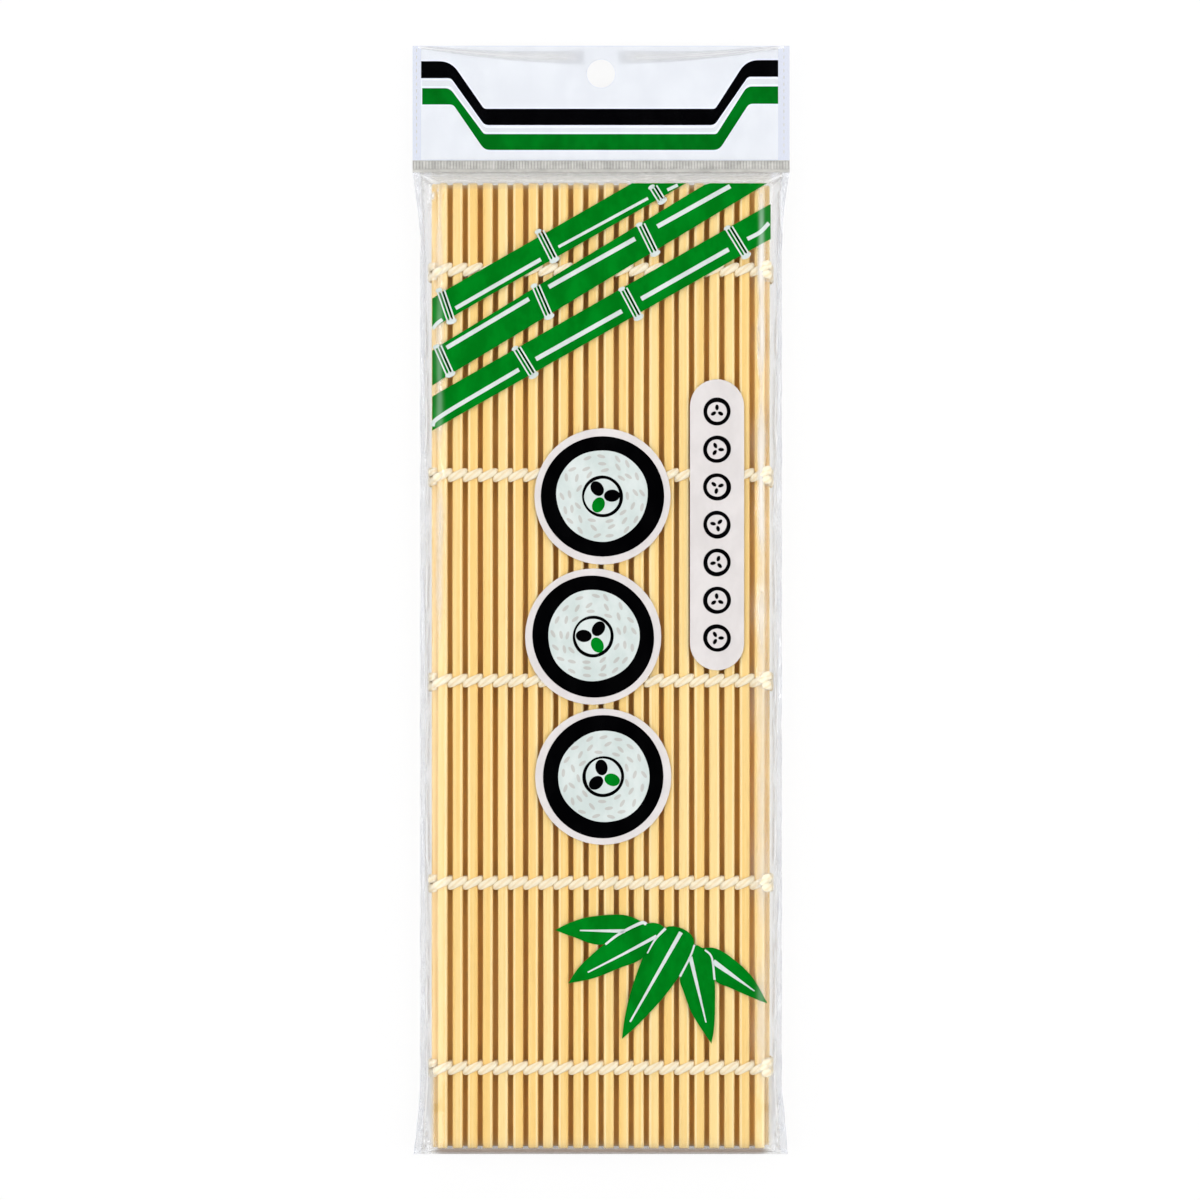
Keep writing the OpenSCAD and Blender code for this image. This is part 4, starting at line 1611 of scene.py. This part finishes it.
    def dashes(self) -> Grid:
        """Rings of the row of short weld marks down both clear margins.

        Returns:
            The rings, one shell a mark.
        """
        xs, ys = (g.reshape(-1)[:, None, None]
                  for g in np.meshgrid(self.margins, np.linspace(126, 154.5, 16)))
        along = np.array([-1.0, 0.0, 1.0])[None, :, None]
        across = np.array([-1.0, 1.0, 1.0, -1.0])[None, None, :]
        up = np.array([1.0, 1.0, 0.0, 0.0])[None, None, :]
        x, y = np.broadcast_arrays(xs + self.dash_half[0] * across, ys + self.dash_half[1] * along)
        z = self.sizes.z_middle + self.film_up + self.lift(x, y) + self.dash_up * up
        return np.stack([x, y, z], -1)

    def glare(self) -> Skin:
        """Two painted highlights along folds from the top corners toward the hole, that fade to their edges
        and end.

        Returns:
            The skin of both folds.
        """
        skin = Skin()
        for side in (-1.0, 1.0):
            grid = stroke([(side * 51.4, 155.4), (side * 28.0, 153.2), (side * 4.5, 152.5)], 0.9, 4.4, 40)
            along = np.linspace(0, 1, len(grid))[:, None]
            core = np.array([[0.0, 1.0, 0.0, 0.0, 1.0, 0.0]])
            held = 0.5 * core * fall(along, 1, 0.12) * (1 - 0.5 * along)
            skin.add(self.layer(grid, self.glare_up, self.ink_thick), fade=1 - held)
        return skin

    def build(self, inks: Finishes, film: bpy.types.Material, weld: bpy.types.Material) -> None:
        """Build the header's sheet, bands, films, weld marks and seal.

        Args:
            inks: The finish of each ink.
            film: The finish of the clear film.
            weld: The finish of the weld marks and the seal.
        """
        sizes = self.sizes
        white = self.pierced(self.sheet_left, self.sheet_right, sizes.y_header + 0.2, sizes.y_crown - 0.15,
                             sizes.hole_r + 0.08)
        clear = self.pierced(-sizes.flat_half, sizes.flat_half, sizes.y_header, sizes.y_crown, sizes.hole_r)
        sheet = Skin().add(self.layer(white, self.sheet_up, self.sheet_thick), loop=True)
        films = Skin()
        for up in (self.film_up, self.film_down):
            films.add(self.layer(clear, up, self.film_thick), loop=True)
        marks = Skin().add(self.dashes(), rib=np.float64(1))
        rings, tone = self.seal()
        pieces = [("header_white_sheet", sheet, inks[Ink.SHEET], "header_print", ["header_sheet"])]
        for name, ink, up, upper, lower in self.bands:
            flat = band(self.edge(*upper), self.edge(*lower), 4)
            skin = Skin().add(self.layer(flat, up, self.ink_thick))
            pieces.append((f"header_band_{name}", skin, inks[ink], "header_print", []))
        pieces += [("header_clear_film", films, film, "clear_film", ["header_sheet"]),
                   ("header_painted_highlights", self.glare(), inks[Ink.LINE], "header_print", []),
                   ("header_weld_marks", marks, weld, "clear_film", []),
                   ("ribbed_seal", Skin().add(rings, rib=tone), weld, "sealed_film", ["seal_band"])]
        for name, skin, finish, slot, nodes in pieces:
            piece = skin.build(name, finish, sharp=75 if name == "ribbed_seal" else 40)
            settle(piece, "header", slot, *nodes, soft=True)
        log.info("header: white sheet with a hole, 4 bands, film, weld marks and seal")


@dataclass
class Studio:
    """A white table under soft lamps, with the camera straight above the mat."""

    level: float = 1.08
    table_half: float = 4.0
    camera_up: float = 0.8
    lens: float = 85.8
    lamps: tuple[tuple[str, Place, Point, float], ...] = (
        ("left_softbox", (-1.1, 0.0, 1.25), (1.1, 1.8), 14.4),
        ("right_softbox", (1.1, 0.0, 1.25), (1.1, 1.8), 14.4),
        ("head_softbox", (0.0, 1.3, 1.0), (1.4, 0.5), 5.4),
        ("foot_softbox", (0.0, -1.3, 1.1), (1.4, 0.4), 2.3),
        ("left_strip", (-0.54, 0.13, 1.2), (0.045, 0.36), 0.3),
        ("right_strip", (0.54, -0.035, 1.2), (0.045, 0.65), 0.5))

    def floor(self) -> None:
        """Add the table: a sheet just under the bag, that drops to its edges by a fourth power."""
        t = np.linspace(-1, 1, 9)
        u, v = np.meshgrid(t, t, indexing="ij")
        z = -0.0006 - 0.004 * (u ** 4 + v ** 4)
        i, j = np.meshgrid(np.arange(8), np.arange(8), indexing="ij")
        a = i * 9 + j
        mesh = bpy.data.meshes.new("table_top")
        mesh.from_pydata(np.stack([u * self.table_half, v * self.table_half, z], -1).reshape(-1, 3), [],
                         np.stack([a, a + 9, a + 10, a + 1], -1).reshape(-1, 4))
        mesh.shade_smooth()
        paint = Paint("white_table")
        camera, glossy, clear = paint.rays()
        seen = (camera + glossy + clear).math("MINIMUM", 1.0)
        body = paint.surface(Base_Color=(0.9, 0.9, 0.9), Roughness=0.9, Specular_IOR_Level=0.0)
        glow = paint.node("ShaderNodeEmission", {}, {"Color": (1, 1, 1, 1), "Strength": 1.0})
        mesh.materials.append(paint.done(paint.mix(seen * 0.9, body, glow)))
        show("table_top", mesh)

    def sky(self) -> None:
        """Light the room evenly under a dark ceiling.

        The camera sees the room white. So do reflections and refractions, except for the dark
        ceiling straight above the table, which keeps glare off the flat film and inks.
        """
        world = bpy.data.worlds.new("white_room")
        bpy.context.scene.world = world
        paint = Paint("white_room", world)
        camera, glossy, clear = paint.rays()
        looked = (glossy + clear).math("MINIMUM", 1.0)
        aim = paint.signal("ShaderNodeTexCoord", {}, {}, "Generated")
        ceiling = 1.0 - paint.part(aim, "Z").ramp(0.45, 0.85) * 0.94
        plain = (1.0 - (camera + looked).math("MINIMUM", 1.0)) * (0.3 * self.level)
        room = paint.node("ShaderNodeBackground", {},
                          {0: (1, 1, 1, 1), 1: camera + looked * ceiling + plain})
        paint.done(room, "World")

    def lamp(self, name: str, place: Place, size: Point, power: float) -> None:
        """Add a soft rectangular lamp that faces the mat.

        Args:
            name: The lamp's name.
            place: Its place in metres.
            size: Its width and length in metres.
            power: Its power in watts at level 1.
        """
        data = bpy.data.lights.new(name, "AREA")
        data.shape = "RECTANGLE"
        data.size, data.size_y = size
        data.energy = power * self.level
        lamp = show(name, data)
        lamp.location = place
        x, y, z = (0.0 - at for at in place)
        lamp.rotation_euler = (math.acos(-z / math.hypot(x, y, z)), 0.0, math.atan2(y, x) - math.pi / 2)

    def camera(self) -> None:
        """Set the camera straight above the mat, with the header at the top of the view."""
        data = bpy.data.cameras.new("camera")
        data.sensor_width, data.lens = 36.0, self.lens
        data.clip_start, data.clip_end = 0.01, 20.0
        camera = show("camera", data)
        camera.location = (-0.0003, 0.0, SIZES.z_top * MM + self.camera_up)
        bpy.context.scene.camera = camera

    def build(self) -> None:
        """Build the whole studio."""
        self.floor()
        self.sky()
        for name, place, size, power in self.lamps:
            self.lamp(name, place, size, power)
        self.camera()
        bpy.context.scene.view_settings.view_transform = "Standard"
        log.info("studio: table, room, %d lamps and camera", len(self.lamps))


def main() -> None:
    """Build the mat, its cord, the bag and its print, the header and the studio, in that order."""
    logging.basicConfig(level=logging.INFO, format="%(message)s")
    inks = {ink: PrintedInk(ink).material() for ink in Ink}
    Slats(SIZES).build(Bamboo().material())
    Twine(SIZES).build(CottonCord().material())
    pouch = Pouch(SIZES)
    pouch.build(ClearFilm(FilmKind.POUCH).material())
    Artwork(pouch).build(inks)
    Header(SIZES).build(inks, ClearFilm(FilmKind.HEADER).material(), WeldedFilm().material())
    Studio().build()
    bpy.context.view_layer.update()


if __name__ == "__main__":
    main()
